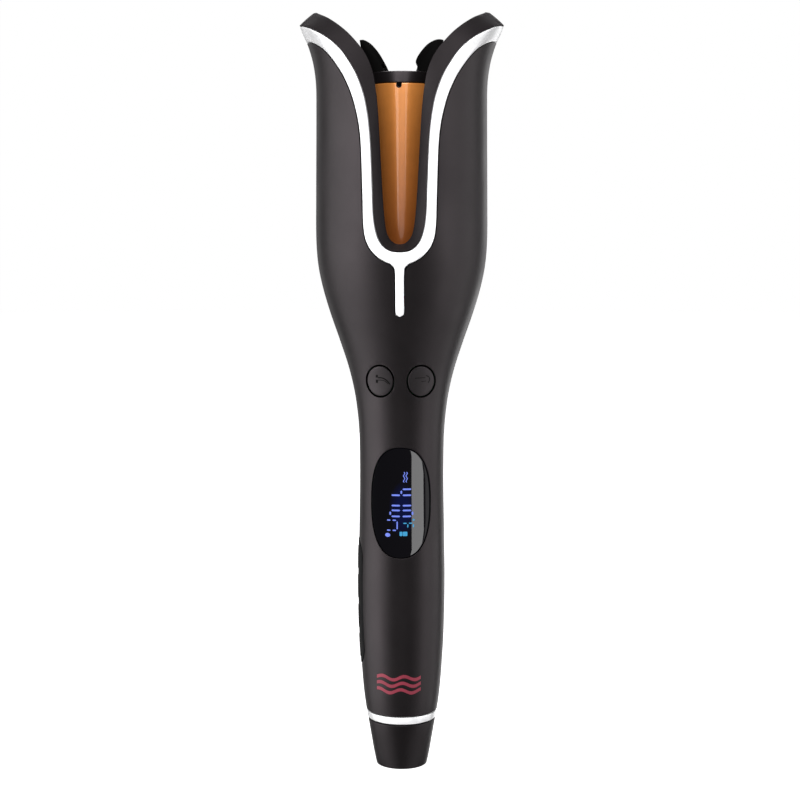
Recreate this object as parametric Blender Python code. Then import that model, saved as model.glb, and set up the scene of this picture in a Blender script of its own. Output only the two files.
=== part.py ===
"""Automatic hair curler: a handle that opens into two petals round a rotating heated barrel.

Every length below is in millimetres, and MM turns it into metres when a mesh is written. The long axis is Z,
the end of the handle stands on z = 0, and the display and the two direction buttons face -Y.
"""

import math

import bmesh
import bpy
from mathutils import Vector

MM = 0.001

# ---------------------------------------------------------------- driving dimensions
GAP = 0.3  # clearance between neighbouring pieces
WALL = 2.4  # housing wall
SPLIT = 0.15  # half the seam between the front and rear housing
HOUSING_BASE = 25.2
HOUSING_TIP_ANGLE = 86.0  # where the housing's rim ends, just short of the side of the petal
WINDOW = {"z": 120.2, "half_w": 12.6, "half_h": 23.9, "power": 2.5}
BUTTON = {"x": 8.75, "z": 173.2, "half_w": 5.5, "half_h": 6.5, "clearance": 0.6, "back_y": -12.2}
PANEL = {"z": 73.8, "half_w": 8.4, "half_h": 28.2, "thick": 2.2, "proud": 0.25}
SIDE_BUTTONS = {"power_button": 93.7, "heat_up_button": 80.4, "heat_down_button": 67.1, "timer_button": 53.9}
SIDE_BUTTON_HALF = (4.7, 5.3)  # across Y, along Z
BARREL_R = 12.7
BARREL_BORE = 11.2
BARREL_Z = (230.6, 299.5)
FLOOR_Z = (227.5, 229.5)
FLOOR_HOLE = 8.2
JOURNAL_R = 7.6
MODULE = 0.8
GEAR_TEETH = 26
PINION_TEETH = 10
PINION_PHASE = math.radians(18.0)
GEAR_Z = (214.0, 219.0)
PINION_Y = MODULE * (GEAR_TEETH + PINION_TEETH) / 2
PLATE_Z = (210.0, 211.6)
CASE_SCREWS = {  # x, z
    "handle_screw_lower": (0.0, 36.5),
    "handle_screw_middle": (10.5, 97.0),
    "handle_screw_upper": (0.0, 160.0),
    "head_screw_left": (-24.0, 219.5),
    "head_screw_right": (24.0, 219.5),
}

# Radius of the outer skin against height, from the handle's end to the flared tips.
SKIN = [
    (18.0, 14.6), (24.9, 15.7), (33.0, 16.8), (45.0, 17.8), (62.0, 18.7), (84.0, 19.05), (105.0, 18.75),
    (130.0, 18.4), (150.0, 18.7), (160.0, 19.6), (168.0, 20.85), (178.0, 23.25), (190.0, 27.15),
    (201.0, 30.95), (212.0, 34.2), (222.0, 36.25), (233.0, 37.1), (250.0, 37.1), (290.0, 36.8),
    (300.0, 36.95), (308.0, 38.0), (314.0, 39.6), (318.0, 41.1), (324.4, 43.9), (332.0, 46.9),
]
# Radius of the curl chamber's inner wall against height.
CHAMBER = [
    (225.0, 31.6), (290.0, 31.6), (302.0, 31.9), (310.0, 32.7),
    (318.0, 34.2), (324.0, 35.9), (330.0, 37.9), (334.0, 39.3),
]
# The three edges round a petal, as (degrees from the front, height), from the foot of the slot to the tip.
LIP_INNER = [
    (0.0, 231.7), (3.9, 232.2), (7.6, 234.2), (10.0, 237.7), (11.7, 245.0), (13.3, 258.0), (15.0, 275.4),
    (16.7, 289.5), (19.8, 301.6), (25.2, 309.7), (33.0, 315.7), (42.5, 321.0), (56.0, 326.0), (72.0, 329.4),
    (90.0, 330.0),
]
LIP_OUTER = [
    (0.0, 228.5), (6.2, 229.2), (11.0, 231.4), (14.6, 235.6), (17.0, 243.5), (17.7, 257.0), (19.2, 276.0),
    (22.2, 289.4), (27.4, 299.4), (33.5, 306.5), (40.5, 312.7),
    (50.0, 317.7), (63.0, 321.6), (75.5, 323.6), (90.0, 324.4),
]
TRIM_OUTER = [
    (6.2, 223.2), (11.0, 224.5), (16.2, 226.8), (21.6, 231.3), (24.3, 238.5), (25.4, 256.0), (27.0, 276.5),
    (31.5, 289.6), (38.4, 299.3), (46.0, 306.2), (54.5, 311.8),
    (62.5, 314.6), (71.5, 316.2), (80.5, 316.7), (90.0, 317.0),
]
# The trim's tail below the slot, as (x, height), from its round end up to where it meets the edge above.
TAIL = [(0.0, 201.2), (1.4, 201.8), (2.1, 203.3), (2.1, 212.0), (2.3, 221.0)]


# ---------------------------------------------------------------- curves
def at(table, z):
    """The value of a smooth curve through the table's (z, value) rows."""
    rows = [table[0]] + table + [table[-1]]
    for i in range(1, len(rows) - 2):
        (z0, v0), (z1, v1), (z2, v2), (z3, v3) = rows[i - 1:i + 3]
        if z <= z2 or i == len(rows) - 3:
            t = (z - z1) / (z2 - z1)
            span = z2 - z1
            m1 = span * (v2 - v0) / (z2 - z0)
            m2 = span * (v3 - v1) / (z3 - z1)
            return ((2 * t**3 - 3 * t**2 + 1) * v1 + (t**3 - 2 * t**2 + t) * m1
                    + (3 * t**2 - 2 * t**3) * v2 + (t**3 - t**2) * m2)
    return table[-1][1]


def skin(z):
    return at(SKIN, z)


def chamber(z):
    return at(CHAMBER, z)


def on_skin(degrees, z, inset=0.0, side=-1):
    """A point of the outer skin, moved in by inset. side is -1 for the front and 1 for the back."""
    a = math.radians(degrees)
    r = skin(z) - inset
    return (r * math.sin(a), side * r * math.cos(a), z)


def angle_at(x, z):
    """The angle from the front, in degrees, of the skin at that x."""
    return math.degrees(math.asin(max(-1.0, min(1.0, x / skin(z)))))


# ---------------------------------------------------------------- materials
def material(name, colour, roughness, metallic=0.0):
    made = bpy.data.materials.new(name)
    made.use_nodes = True
    shader = made.node_tree.nodes["Principled BSDF"]
    shader.inputs["Base Color"].default_value = (*colour, 1.0)
    shader.inputs["Roughness"].default_value = roughness
    shader.inputs["Metallic"].default_value = metallic
    made.diffuse_color = (*colour, 1.0)
    return made


# ---------------------------------------------------------------- meshes
def add_mesh(name, points, faces, finish, sharp=35.0):
    """A closed mesh object from points in millimetres, its faces turned outwards and its round sides smooth."""
    mesh = bpy.data.meshes.new(name)
    work = bmesh.new()
    verts = [work.verts.new(Vector(p) * MM) for p in points]
    for face in faces:
        ring = [verts[i] for i in dict.fromkeys(face)]
        if len(ring) > 2:
            work.faces.new(ring)
    bmesh.ops.remove_doubles(work, verts=work.verts, dist=0.002 * MM)
    bmesh.ops.dissolve_degenerate(work, edges=work.edges, dist=0.001 * MM)
    bmesh.ops.delete(work, geom=[edge for edge in work.edges if not edge.link_faces], context="EDGES")
    bmesh.ops.recalc_face_normals(work, faces=work.faces)
    work.to_mesh(mesh)
    work.free()
    mesh.shade_smooth()
    mesh.set_sharp_from_angle(angle=math.radians(sharp))
    obj = bpy.data.objects.new(name, mesh)
    bpy.context.scene.collection.objects.link(obj)
    if finish:
        mesh.materials.append(finish)
    return obj


def lathe(name, profile, finish, centre=(0.0, 0.0), steps=32):
    """Turns a closed (radius, height) outline about a vertical axis, which is also the object's origin."""
    points, faces = [], []
    n = len(profile)
    for s in range(steps):
        a = 2 * math.pi * s / steps
        points += [(r * math.cos(a), r * math.sin(a), z) for r, z in profile]
    for s in range(steps):
        here, there = s * n, (s + 1) % steps * n
        faces += [(here + k, here + (k + 1) % n, there + (k + 1) % n, there + k) for k in range(n)]
    made = add_mesh(name, points, faces, finish)
    made.location = (centre[0] * MM, centre[1] * MM, 0.0)
    return made


def move_origin(obj, point):
    """Puts the object's origin at a point without moving its surface."""
    shift = Vector(point) * MM
    for vert in obj.data.vertices:
        vert.co -= shift
    obj.location = obj.location + shift
    return obj


def prism(name, outline, axis, low, high, finish=None):
    """An outline pushed along X, Y or Z. The outline's two numbers are the other two axes, in X, Y, Z order."""
    place = {"X": lambda u, v, w: (w, u, v), "Y": lambda u, v, w: (u, w, v), "Z": lambda u, v, w: (u, v, w)}[axis]
    n = len(outline)
    points = [place(u, v, w) for w in (low, high) for u, v in outline]
    faces = [tuple(range(n)), tuple(range(2 * n - 1, n - 1, -1))]
    faces += [(k, (k + 1) % n, n + (k + 1) % n, n + k) for k in range(n)]
    return add_mesh(name, points, faces, finish)


def box(name, low, high, finish=None):
    (x0, y0, z0), (x1, y1, z1) = low, high
    return prism(name, [(x0, y0), (x1, y0), (x1, y1), (x0, y1)], "Z", z0, z1, finish)


def round_outline(u, v, half_u, half_v, steps=20, power=2.0):
    """An ellipse, or a superellipse where power is above 2."""
    def turned(a, trig):
        return math.copysign(abs(trig(a)) ** (2 / power), trig(a))

    angles = [2 * math.pi * s / steps for s in range(steps)]
    return [(u + half_u * turned(a, math.cos), v + half_v * turned(a, math.sin)) for a in angles]


def stadium(u, v, half_u, half_v, steps=16):
    """A slot shape, longer along v, with half-round ends."""
    straight = half_v - half_u
    outline = []
    for end, start in ((1, 0.0), (-1, math.pi)):
        for s in range(steps // 2 + 1):
            a = start + math.pi * s / (steps // 2)
            outline.append((u + half_u * math.cos(a), v + end * straight + half_u * math.sin(a)))
    return outline


def rounded_box_outline(u, v, half_u, half_v, radius, steps=3):
    outline = []
    for quarter, (su, sv) in enumerate(((1, 1), (-1, 1), (-1, -1), (1, -1))):
        for s in range(steps + 1):
            a = math.pi / 2 * (quarter + s / steps)
            outline.append((u + su * (half_u - radius) + radius * math.cos(a),
                            v + sv * (half_v - radius) + radius * math.sin(a)))
    return outline


def boolean(obj, other, operation):
    """Joins or cuts with a helper object that isn't a piece itself."""
    other.hide_render = True
    other.display_type = "WIRE"
    modifier = obj.modifiers.new(f"{operation.lower()}_{other.name}", "BOOLEAN")
    modifier.operation = operation
    modifier.solver = "EXACT"
    modifier.object = other


def cut(obj, other):
    boolean(obj, other, "DIFFERENCE")


def fuse(obj, other):
    boolean(obj, other, "UNION")


def skin_patch(name, outline_at, rings, face_at, back_at, finish):
    """A plate with a curved outer face. outline_at(share) is its outline at that share of full size, and face_at
    and back_at turn an outline point into a point of the outer and the inner face."""
    points, faces = [], []
    shares = [(k + 1) / rings for k in range(rings)]
    layers = [[face_at(*p) for p in outline_at(s)] for s in shares]
    layers += [[back_at(*p) for p in outline_at(s)] for s in reversed(shares)]
    n = len(layers[0])
    for layer in layers:
        points += layer
    faces = [(k * n + i, k * n + (i + 1) % n, (k + 1) * n + (i + 1) % n, (k + 1) * n + i)
             for k in range(len(layers) - 1) for i in range(n)]
    faces += [tuple(range(n)), tuple(range((len(layers) - 1) * n, len(layers) * n))]
    return add_mesh(name, points, faces, finish)


def mirrored(points, faces):
    """Points and faces with their mirror images across X = 0, where the two halves meet."""
    n = len(points)
    return points + [(-x, y, z) for x, y, z in points], faces + [tuple(i + n for i in face) for face in faces]


def quads(rows):
    """Faces between equally long rows of point numbers."""
    return [(a[j], a[j + 1], b[j + 1], b[j]) for a, b in zip(rows, rows[1:]) for j in range(len(a) - 1)]


# ---------------------------------------------------------------- housing
def housing_edge():
    """(angle, height) rows from the foot of the housing to its rim. Rows with angle 0 lie on the middle plane."""
    handle = [25.2, 34.0, 48.0, 68.0, 92.0, 120.0, 145.0, 159.0, 169.0, 179.0, 190.0]
    rows = [(0.0, z) for z in handle]
    rows += [(angle_at(x, z), z) for x, z in TAIL]
    rows += TRIM_OUTER[:-1]
    rows.append((HOUSING_TIP_ANGLE, 316.95))
    return rows


def housing(name, side, finish, columns=7):
    """Half of the clamshell, front (side -1) or rear (side 1), from the handle's end to the petals' rims."""
    points, outer, inner = [], [], []
    for angle, z in housing_edge():
        for grid, inset in ((outer, 0.0), (inner, WALL)):
            r = skin(z) - inset
            last = math.degrees(math.acos(SPLIT / r))
            row = []
            for c in range(columns + 1):
                row.append(len(points))
                points.append(on_skin(angle + (last - angle) * c / columns, z, inset, side))
            grid.append(row)
    open_rows = [k for k, (angle, _) in enumerate(housing_edge()) if angle == 0.0]
    first_edge = open_rows[-1]
    faces = quads(outer) + quads(inner)
    faces += quads([[row[-1] for row in outer], [row[-1] for row in inner]])  # the seam
    faces += quads([[row[0] for row in outer[first_edge:]], [row[0] for row in inner[first_edge:]]])  # the slot
    faces += quads([outer[0], inner[0]]) + quads([outer[-1], inner[-1]])  # the foot and the rim
    return add_mesh(name, *mirrored(points, faces), finish)


def cross_boss(obj, name, x, z, radius, y_from, y_to):
    """A round post inside the housing, along Y."""
    fuse(obj, prism(name, round_outline(x, z, radius, radius, 12), "Y", y_from, y_to))


def make_housings(finish):
    front = housing("front_housing", -1, finish)
    rear = housing("rear_housing", 1, finish)
    for name, (x, z) in CASE_SCREWS.items():
        reach = math.sqrt((skin(z) - WALL / 2) ** 2 - (abs(x) + 3.5) ** 2)
        cross_boss(front, name + "_front_post", x, z, 2.7, -reach, -SPLIT)
        cross_boss(rear, name + "_rear_post", x, z, 3.5, SPLIT, reach)
        cut(front, prism(name + "_pilot", round_outline(x, z, 1.55, 1.55, 12), "Y", -8.5, 5.0))
        cut(rear, prism(name + "_clear", round_outline(x, z, 1.55, 1.55, 12), "Y", -1.0, 10.0))
        cut(rear, prism(name + "_recess", round_outline(x, z, 2.6, 2.6, 12), "Y", 6.0, 45.0))
    for x, z in ((-9.5, 152.0), (9.5, 152.0)):
        reach = math.sqrt((skin(z) - WALL / 2) ** 2 - 11.1**2)
        cross_boss(front, f"board_post_{x:+.0f}", x, z, 1.6, -reach, -7.9)
    cross_boss(front, "button_board_post", 0.0, 185.0, 1.6, -24.2, -5.5)
    for z in (46.0, 88.0):
        cross_boss(rear, f"power_board_post_{z:.0f}", 7.0, z, 1.6, 4.9, math.sqrt((skin(z) - WALL / 2) ** 2 - 8.6**2))
    for obj, side in ((front, -1), (rear, 1)):
        for part, start in (("right", 8.0), ("left", 100.0)):
            turns = [math.radians(start + 72 * s / 4) for s in range(5)]
            ledge = [(27.5 * math.cos(a), side * 27.5 * math.sin(a)) for a in turns]
            ledge += [(32.0 * math.cos(a), side * 32.0 * math.sin(a)) for a in reversed(turns)]
            fuse(obj, prism(f"{obj.name}_ledge_{part}", ledge, "Z", 208.0, 209.7))
    window = round_outline(0.0, WINDOW["z"], WINDOW["half_w"] + GAP, WINDOW["half_h"] + GAP, 28, WINDOW["power"])
    cut(front, prism("window_opening", window, "Y", -30.0, -8.5))
    for side in (-1, 1):
        half_w, half_h = (BUTTON[size] + BUTTON["clearance"] for size in ("half_w", "half_h"))
        hole = round_outline(side * BUTTON["x"], BUTTON["z"], half_w, half_h, 20)
        cut(front, prism(f"button_opening_{side:+d}", hole, "Y", -30.0, -9.0))
    for obj in (front, rear):
        slot = stadium(0.0, PANEL["z"], PANEL["half_w"] + GAP, PANEL["half_h"] + GAP)
        cut(obj, prism(f"{obj.name}_panel_opening", slot, "X", -30.0, -11.0))
    return front, rear


# ---------------------------------------------------------------- curl chamber
def make_liner(finish, columns=10):
    """The cup round the barrel. Its walls rise into two petals, and each petal's edge turns out into a bevelled
    lip that reaches the outer skin. One wall thickness separates its inner and outer faces."""
    wall = 3.6  # from the skin to the back of the liner
    points, inner, outer, lips = [], [], [], {-1: [], 1: []}

    def ring(angle, z, r, rise=0.0):
        row = []
        for c in range(columns + 1):
            a = math.radians(angle + (180 - 2 * angle) * c / columns)
            row.append(len(points))
            points.append((r * math.sin(a), -r * math.cos(a), z + rise * math.sin(math.pi * c / columns)))
        return row

    foot_r = skin(FLOOR_Z[0]) - wall
    rows = [ring(0.0, FLOOR_Z[1], FLOOR_HOLE), ring(0.0, FLOOR_Z[1], chamber(FLOOR_Z[1]))]
    inner += rows
    outer += [ring(0.0, FLOOR_Z[0], FLOOR_HOLE), ring(0.0, FLOOR_Z[0], foot_r)]
    tip = len(LIP_INNER) - 1
    for k in range(tip):
        (a_in, z_in), (a_out, z_out) = LIP_INNER[k], LIP_OUTER[k]
        inner.append(ring(a_in, z_in, chamber(z_in)))
        outer.append(ring(a_out, z_out, skin(z_out) - wall))
        for side, column in ((-1, 0), (1, columns)):
            edge = len(points)
            points.append(on_skin(a_out, z_out, 0.0, side))
            lips[side].append([inner[-1][column], edge, outer[-1][column]])
    last_angle, z_in, z_out = 76.0, 329.6, 323.6
    inner.append(ring(last_angle, z_in, chamber(330.0), 0.4))
    outer.append(ring(last_angle, z_out, skin(324.4) - wall, 0.8))
    crest = ring(last_angle, z_out, skin(324.4), 0.8)
    for side, column in ((-1, 0), (1, columns)):
        lips[side].append([inner[-1][column], crest[column], outer[-1][column]])
    faces = quads(inner) + quads(outer) + quads([inner[0], outer[0]])
    faces += quads(lips[-1]) + quads(lips[1]) + quads([inner[-1], crest, outer[-1]])
    return add_mesh("chamber_liner", *mirrored(points, faces), finish)


# ---------------------------------------------------------------- bright trim
def trim_stations():
    """Pairs of edges, the inner one beside the lip and the outer one beside the housing, as (angle, height)."""
    pairs = [((0.0, z + 0.9 if k == 0 else z), (angle_at(x, z), z)) for k, (x, z) in enumerate(TAIL)]
    pairs.append(((0.0, LIP_OUTER[0][1] - GAP), TRIM_OUTER[0]))
    pairs += list(zip(LIP_OUTER[1:], TRIM_OUTER[1:]))
    return pairs


def make_trim(name, side, finish, depth=2.6, crown=0.15):
    """The wishbone trim on the front or the rear: a band round the slot with a tail below it."""
    points, rows = [], []
    pairs = trim_stations()
    for k, ((a_in, z_in), (a_out, z_out)) in enumerate(pairs):
        low, high = on_skin(a_in, z_in, 0, side), on_skin(a_out, z_out, 0, side)
        width = max(0.9, math.dist(low, high))
        inner_gap = 0.0 if a_in == 0.0 else GAP / width
        outer_gap = GAP / width
        row = []
        for inset in (-crown, depth):
            shares = (inner_gap, 0.5, 1 - outer_gap)
            for share in shares if inset < 0 else reversed(shares):
                angle, z = a_in + (a_out - a_in) * share, z_in + (z_out - z_in) * share
                edge = inset < 0 and share != 0.5 and angle > 0
                x, y, z = on_skin(angle, z, 0.0 if edge else inset, side)
                if side * y < SPLIT:
                    y = side * SPLIT
                row.append(len(points))
                points.append((x, y, z))
        rows.append(row + [row[0]])
    tail_rows = len(TAIL)
    faces = []
    for k, (a, b) in enumerate(zip(rows, rows[1:])):
        open_side = k < tail_rows  # the middle plane, where the halves meet
        faces += [(a[j], a[j + 1], b[j + 1], b[j]) for j in range(6) if not (open_side and j == 5)]
    faces.append(tuple(rows[-1][:6]))
    return add_mesh(name, *mirrored(points, faces), finish)


# ---------------------------------------------------------------- display and buttons
def make_display(glass, plastic):
    def outline(share):
        return round_outline(0.0, WINDOW["z"], WINDOW["half_w"] * share, WINDOW["half_h"] * share, 28, WINDOW["power"])

    def face(x, z, inset=0.1):
        return (x, -math.sqrt((skin(z) - inset) ** 2 - x * x), z)

    skin_patch("display_lens", outline, 3, face, lambda x, z: face(x, z, 2.0), glass)
    box("display_module", (-9.0, -11.4, 100.5), (9.0, -7.9, 140.0), plastic)


def make_direction_button(name, side, finish):
    """A round button whose face follows the neck, with a short stem behind it."""
    def outline(share):
        return round_outline(side * BUTTON["x"], BUTTON["z"], BUTTON["half_w"] * share, BUTTON["half_h"] * share, 20)

    def face(x, z):
        return (x, -math.sqrt(skin(z) ** 2 - x * x), z)

    back_y = BUTTON["back_y"]
    button = skin_patch(name, outline, 2, face, lambda x, z: (x, back_y, z), finish)
    move_origin(button, (side * BUTTON["x"], back_y, BUTTON["z"]))
    stem = round_outline(side * BUTTON["x"], BUTTON["z"], 1.8, 1.8, 10)
    fuse(button, prism(name + "_stem", stem, "Y", back_y - 0.5, back_y + 1.8))


def make_side_panel(finish, button_finish):
    z_mid = PANEL["z"]

    def panel_outline(share):
        return stadium(0.0, z_mid, PANEL["half_w"] * share, PANEL["half_h"] * share)

    def side_point(proud):
        return lambda y, z: (-math.sqrt((skin(z) + proud) ** 2 - y * y), y, z)

    panel = skin_patch("side_panel", panel_outline, 3, side_point(PANEL["proud"]), side_point(-PANEL["thick"]), finish)
    fuse(panel, prism("side_board_post", round_outline(0.0, z_mid, 0.9, 0.9, 8), "X", -17.5, -9.9))
    half_y, half_z = SIDE_BUTTON_HALF
    for name, z in SIDE_BUTTONS.items():
        hole = rounded_box_outline(0.0, z, half_y + GAP, half_z + GAP, 2.8)
        cut(panel, prism(name + "_opening", hole, "X", -30.0, -13.0))

        def outline(share, z=z):
            return rounded_box_outline(0.0, z, half_y * share, half_z * share, 2.5 * share)

        button = skin_patch(name, outline, 2, side_point(0.45), lambda y, z: (-14.8, y, z), button_finish)
        move_origin(button, (-14.8, 0.0, z))


# ---------------------------------------------------------------- boards and switches
def tact_switch(name, centre, axis, finish):
    """A small push switch: a square body with a round plunger, facing -Y or -X from its board."""
    u, v, face = centre
    body = rounded_box_outline(u, v, 3.0, 3.0, 0.6, 1)
    switch = prism(name, body, axis, face + 0.8, face + 3.8, finish)
    fuse(switch, prism(name + "_plunger", round_outline(u, v, 1.5, 1.5, 8), axis, face, face + 1.5))


def make_electronics(board, dark):
    box("control_board", (-13.2, -7.6, 105.0), (13.2, -6.0, 156.0), board)
    power = box("power_board", (-8.0, 3.0, 41.5), (12.0, 4.6, 92.8), board)
    fuse(power, box("relay_block", (-6.0, -4.0, 44.0), (4.0, 3.5, 60.0)))
    fuse(power, box("driver_block", (-4.0, 0.5, 66.0), (8.0, 3.5, 76.0)))
    lathe("filter_capacitor", [(0, 80.0), (4.0, 80.0), (4.0, 90.0), (0, 90.0)], dark, (2.0, -1.4), 14)
    box("button_board", (-14.5, -5.2, 164.5), (14.5, -3.6, 188.0), board)
    box("side_board", (-9.6, -4.5, 48.0), (-8.4, 4.5, 100.0), board)
    for side, name in ((-1, "switch_curl_left"), (1, "switch_curl_right")):
        tact_switch(name, (side * BUTTON["x"], BUTTON["z"], -9.3), "Y", dark)
    for name, z in SIDE_BUTTONS.items():
        tact_switch("switch_" + name.replace("_button", ""), (0.0, z, -13.7), "X", dark)


# ---------------------------------------------------------------- rotor
def gear_outline(teeth, phase):
    """A spur gear's outline with straight-sided teeth, thinned so that the pair runs free."""
    pitch_r = MODULE * teeth / 2
    step = 2 * math.pi / teeth
    root, tip = pitch_r - 1.15 * MODULE, pitch_r + 0.8 * MODULE
    at_root, at_tip = 0.29 * step, 0.10 * step
    outline = []
    for t in range(teeth):
        middle = phase + t * step
        for r, half in ((root, -at_root), (tip, -at_tip), (tip, at_tip), (root, at_root)):
            outline.append((r * math.cos(middle + half), r * math.sin(middle + half)))
    return outline


def make_barrel(finish):
    z0, z1 = BARREL_Z
    barrel = lathe("barrel", [(BARREL_BORE, z0), (BARREL_R, z0), (BARREL_R, z1), (BARREL_BORE, z1)], finish, steps=40)
    for side in (-1, 1):
        notch = [(1.2 * math.cos(a), z1 - 1.0 - 1.2 * math.sin(a)) for a in (0, 0.63, 1.26, 1.88, 2.51, math.pi)]
        notch += [(-1.2, z1 + 2), (1.2, z1 + 2)]
        low, high = sorted((side * 9.0, side * 15.0))
        cut(barrel, prism(f"key_notch_{side:+d}", notch, "Y", low, high))


FIN = [  # x, z of one fin, from its foot on the cap, up its inner edge with the hook, over the tip and down outside
    (4.6, 302.6), (5.4, 304.5), (6.7, 305.5), (7.1, 307.0), (6.4, 308.6), (6.3, 310.2), (8.5, 313.4), (10.6, 315.6),
    (12.9, 317.3), (15.0, 318.4), (16.8, 318.8), (18.1, 318.5), (17.7, 315.8), (16.0, 310.0), (14.3, 305.6), (12.6, 302.6),
]


def make_cap(finish):
    """The cap keyed into the barrel's top. Its two fins catch the hair and wind it on."""
    top = 304.5
    foot = BARREL_Z[1] + GAP
    profile = [(5.0, 291.0), (10.9, 291.0), (10.9, foot), (BARREL_R, foot), (BARREL_R, top - 0.5),
               (BARREL_R - 0.5, top), (0.0, top), (0.0, top - 2.0), (5.0, top - 2.0)]
    cap = lathe("barrel_cap", profile, finish, steps=40)
    for side in (-1, 1):
        low, high = sorted((side * 10.5, side * 12.6))
        fuse(cap, box(f"cap_key_{side:+d}", (-0.85, low, 297.9), (0.85, high, foot + 0.5)))
        fuse(cap, prism(f"fin_{side:+d}", [(side * x, z) for x, z in FIN], "Y", -2.8, 2.8))


def make_rotor(barrel_finish, cap_finish, polymer, steel, bronze):
    make_barrel(barrel_finish)
    make_cap(cap_finish)
    bore = 5.8
    hub = [(bore, 213.8), (JOURNAL_R, 213.8), (JOURNAL_R, 229.8), (BARREL_R, 229.8), (BARREL_R, 230.3),
           (BARREL_BORE - GAP, 230.3), (BARREL_BORE - GAP, 238.0), (bore, 238.0)]
    lathe("barrel_hub", hub, polymer, steps=24)
    gear = prism("barrel_gear", gear_outline(GEAR_TEETH, 0.0), "Z", *GEAR_Z, polymer)
    cut(gear, prism("gear_bore", round_outline(0, 0, JOURNAL_R + GAP, JOURNAL_R + GAP, 24), "Z", 200.0, 230.0))
    pinion = prism("pinion", gear_outline(PINION_TEETH, PINION_PHASE), "Z", *GEAR_Z, bronze)
    pinion.location.y = PINION_Y * MM
    cut(pinion, prism("pinion_bore", round_outline(0, PINION_Y, 1.4, 1.4, 12), "Z", 200.0, 230.0))
    lathe("pinion_shaft", [(0, 209.2), (1.1, 209.2), (1.1, 219.6), (0, 219.6)], steel, (0.0, PINION_Y), 12)


# ---------------------------------------------------------------- heater and drive
def make_heater(aluminium, ceramic, steel, polymer):
    lathe("spindle_post", [(3.0, 211.9), (7.0, 211.9), (7.0, 213.4), (4.6, 213.4), (4.6, 238.6), (8.0, 238.6),
                           (8.0, 240.2), (3.0, 240.2)], steel, steps=20)
    core = lathe("heater_core", [(0, 240.5), (9.6, 240.5), (9.6, 287.0), (2.1, 287.0), (2.1, 292.0), (0, 292.0)],
                 aluminium, steps=20)
    cut(core, box("heater_slot", (-6.6, -2.2, 235.0), (6.6, 2.2, 284.0)))
    cut(core, prism("sensor_hole", round_outline(0, 6.0, 1.4, 1.4, 10), "Z", 235.0, 262.0))
    box("ptc_heater", (-6.2, -1.8, 240.8), (6.2, 1.8, 283.5), ceramic)
    lathe("temperature_sensor", [(0, 241.0), (1.05, 241.0), (1.05, 252.0), (0, 252.0)], ceramic, (0.0, 6.0), 10)
    lathe("lower_bush", [(4.9, 220.0), (5.5, 220.0), (5.5, 236.0), (4.9, 236.0)], polymer, steps=20)
    lathe("upper_bush", [(2.4, 288.0), (4.7, 288.0), (4.7, 294.5), (0, 294.5), (0, 292.3), (2.4, 292.3)],
          polymer, steps=20)


def make_drive(metal, steel):
    plate = prism("drive_plate", round_outline(0, 0, 29.8, 29.8, 28), "Z", *PLATE_Z, metal)
    for name, x, y, r in (("wire_hole", 0.0, -1.6, 3.2), ("shaft_hole", 0.0, PINION_Y, 3.4)):
        cut(plate, prism(name, round_outline(x, y, r, r, 14), "Z", 200.0, 220.0))
    for name, x, y in (("a", 0.0, -26.0), ("b", -15.5, 23.0), ("c", 15.5, 23.0)):
        fuse(plate, prism("pillar_" + name, round_outline(x, y, 2.0, 2.0, 10), "Z", 210.5, FLOOR_Z[0] - GAP))
    lathe("gearbox", [(0, 197.0), (9.5, 197.0), (9.5, 208.9), (0, 208.9)], metal, (0.0, 12.0), 20)
    lathe("motor", [(0, 174.5), (2.5, 174.5), (2.5, 176.0), (8.5, 176.0), (8.5, 196.7), (0, 196.7)],
          steel, (0.0, 9.8), 20)


# ---------------------------------------------------------------- handle end
def make_handle_end(boot, bright, polymer, brass):
    lathe("trim_ring", [(12.9, 21.1), (15.05, 21.1), (15.55, 24.9), (12.9, 24.9)], bright, steps=36)
    cone = [(6.6, 0.0), (10.6, 0.0), (11.3, 0.6), (12.7, 7.5), (13.85, 14.4), (14.95, 20.8), (12.6, 20.8),
            (12.6, 31.5), (11.0, 31.5), (11.0, 21.0), (9.9, 4.5), (6.6, 4.5)]
    lathe("end_cap", cone, boot, steps=36)
    gland = [(3.7, 0.4), (6.2, 0.4), (6.2, 4.8), (8.6, 4.8), (8.6, 6.8), (5.0, 6.8), (5.0, 20.0), (3.7, 20.0)]
    lathe("swivel_gland", gland, boot, steps=20)
    for name, z in (("slip_ring_live", 9.0), ("slip_ring_neutral", 14.0)):
        lathe(name, [(5.3, z), (6.0, z), (6.0, z + 2.0), (5.3, z + 2.0)], brass, steps=20)
    lathe("contact_carrier", [(7.4, 7.1), (9.6, 7.1), (9.6, 19.0), (7.4, 19.0)], polymer, steps=20)
    for name, z, start in (("contact_spring_live", 9.2, 0.0), ("contact_spring_neutral", 14.2, math.pi)):
        arc = [start + math.radians(70) * s / 6 for s in range(7)]
        strip = [(6.4 * math.cos(a), 6.4 * math.sin(a)) for a in arc]
        strip += [(7.0 * math.cos(a), 7.0 * math.sin(a)) for a in reversed(arc)]
        prism(name, strip, "Z", z, z + 1.6, brass)


def make_case_screws(finish):
    for name, (x, z) in CASE_SCREWS.items():
        screw = lathe(name, [(0, -7.5), (1.25, -7.5), (1.25, 6.3), (2.2, 6.3), (2.2, 8.0), (0, 8.0)], finish, steps=12)
        screw.rotation_euler.x = -math.pi / 2
        screw.location = (x * MM, 0.0, z * MM)


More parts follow.
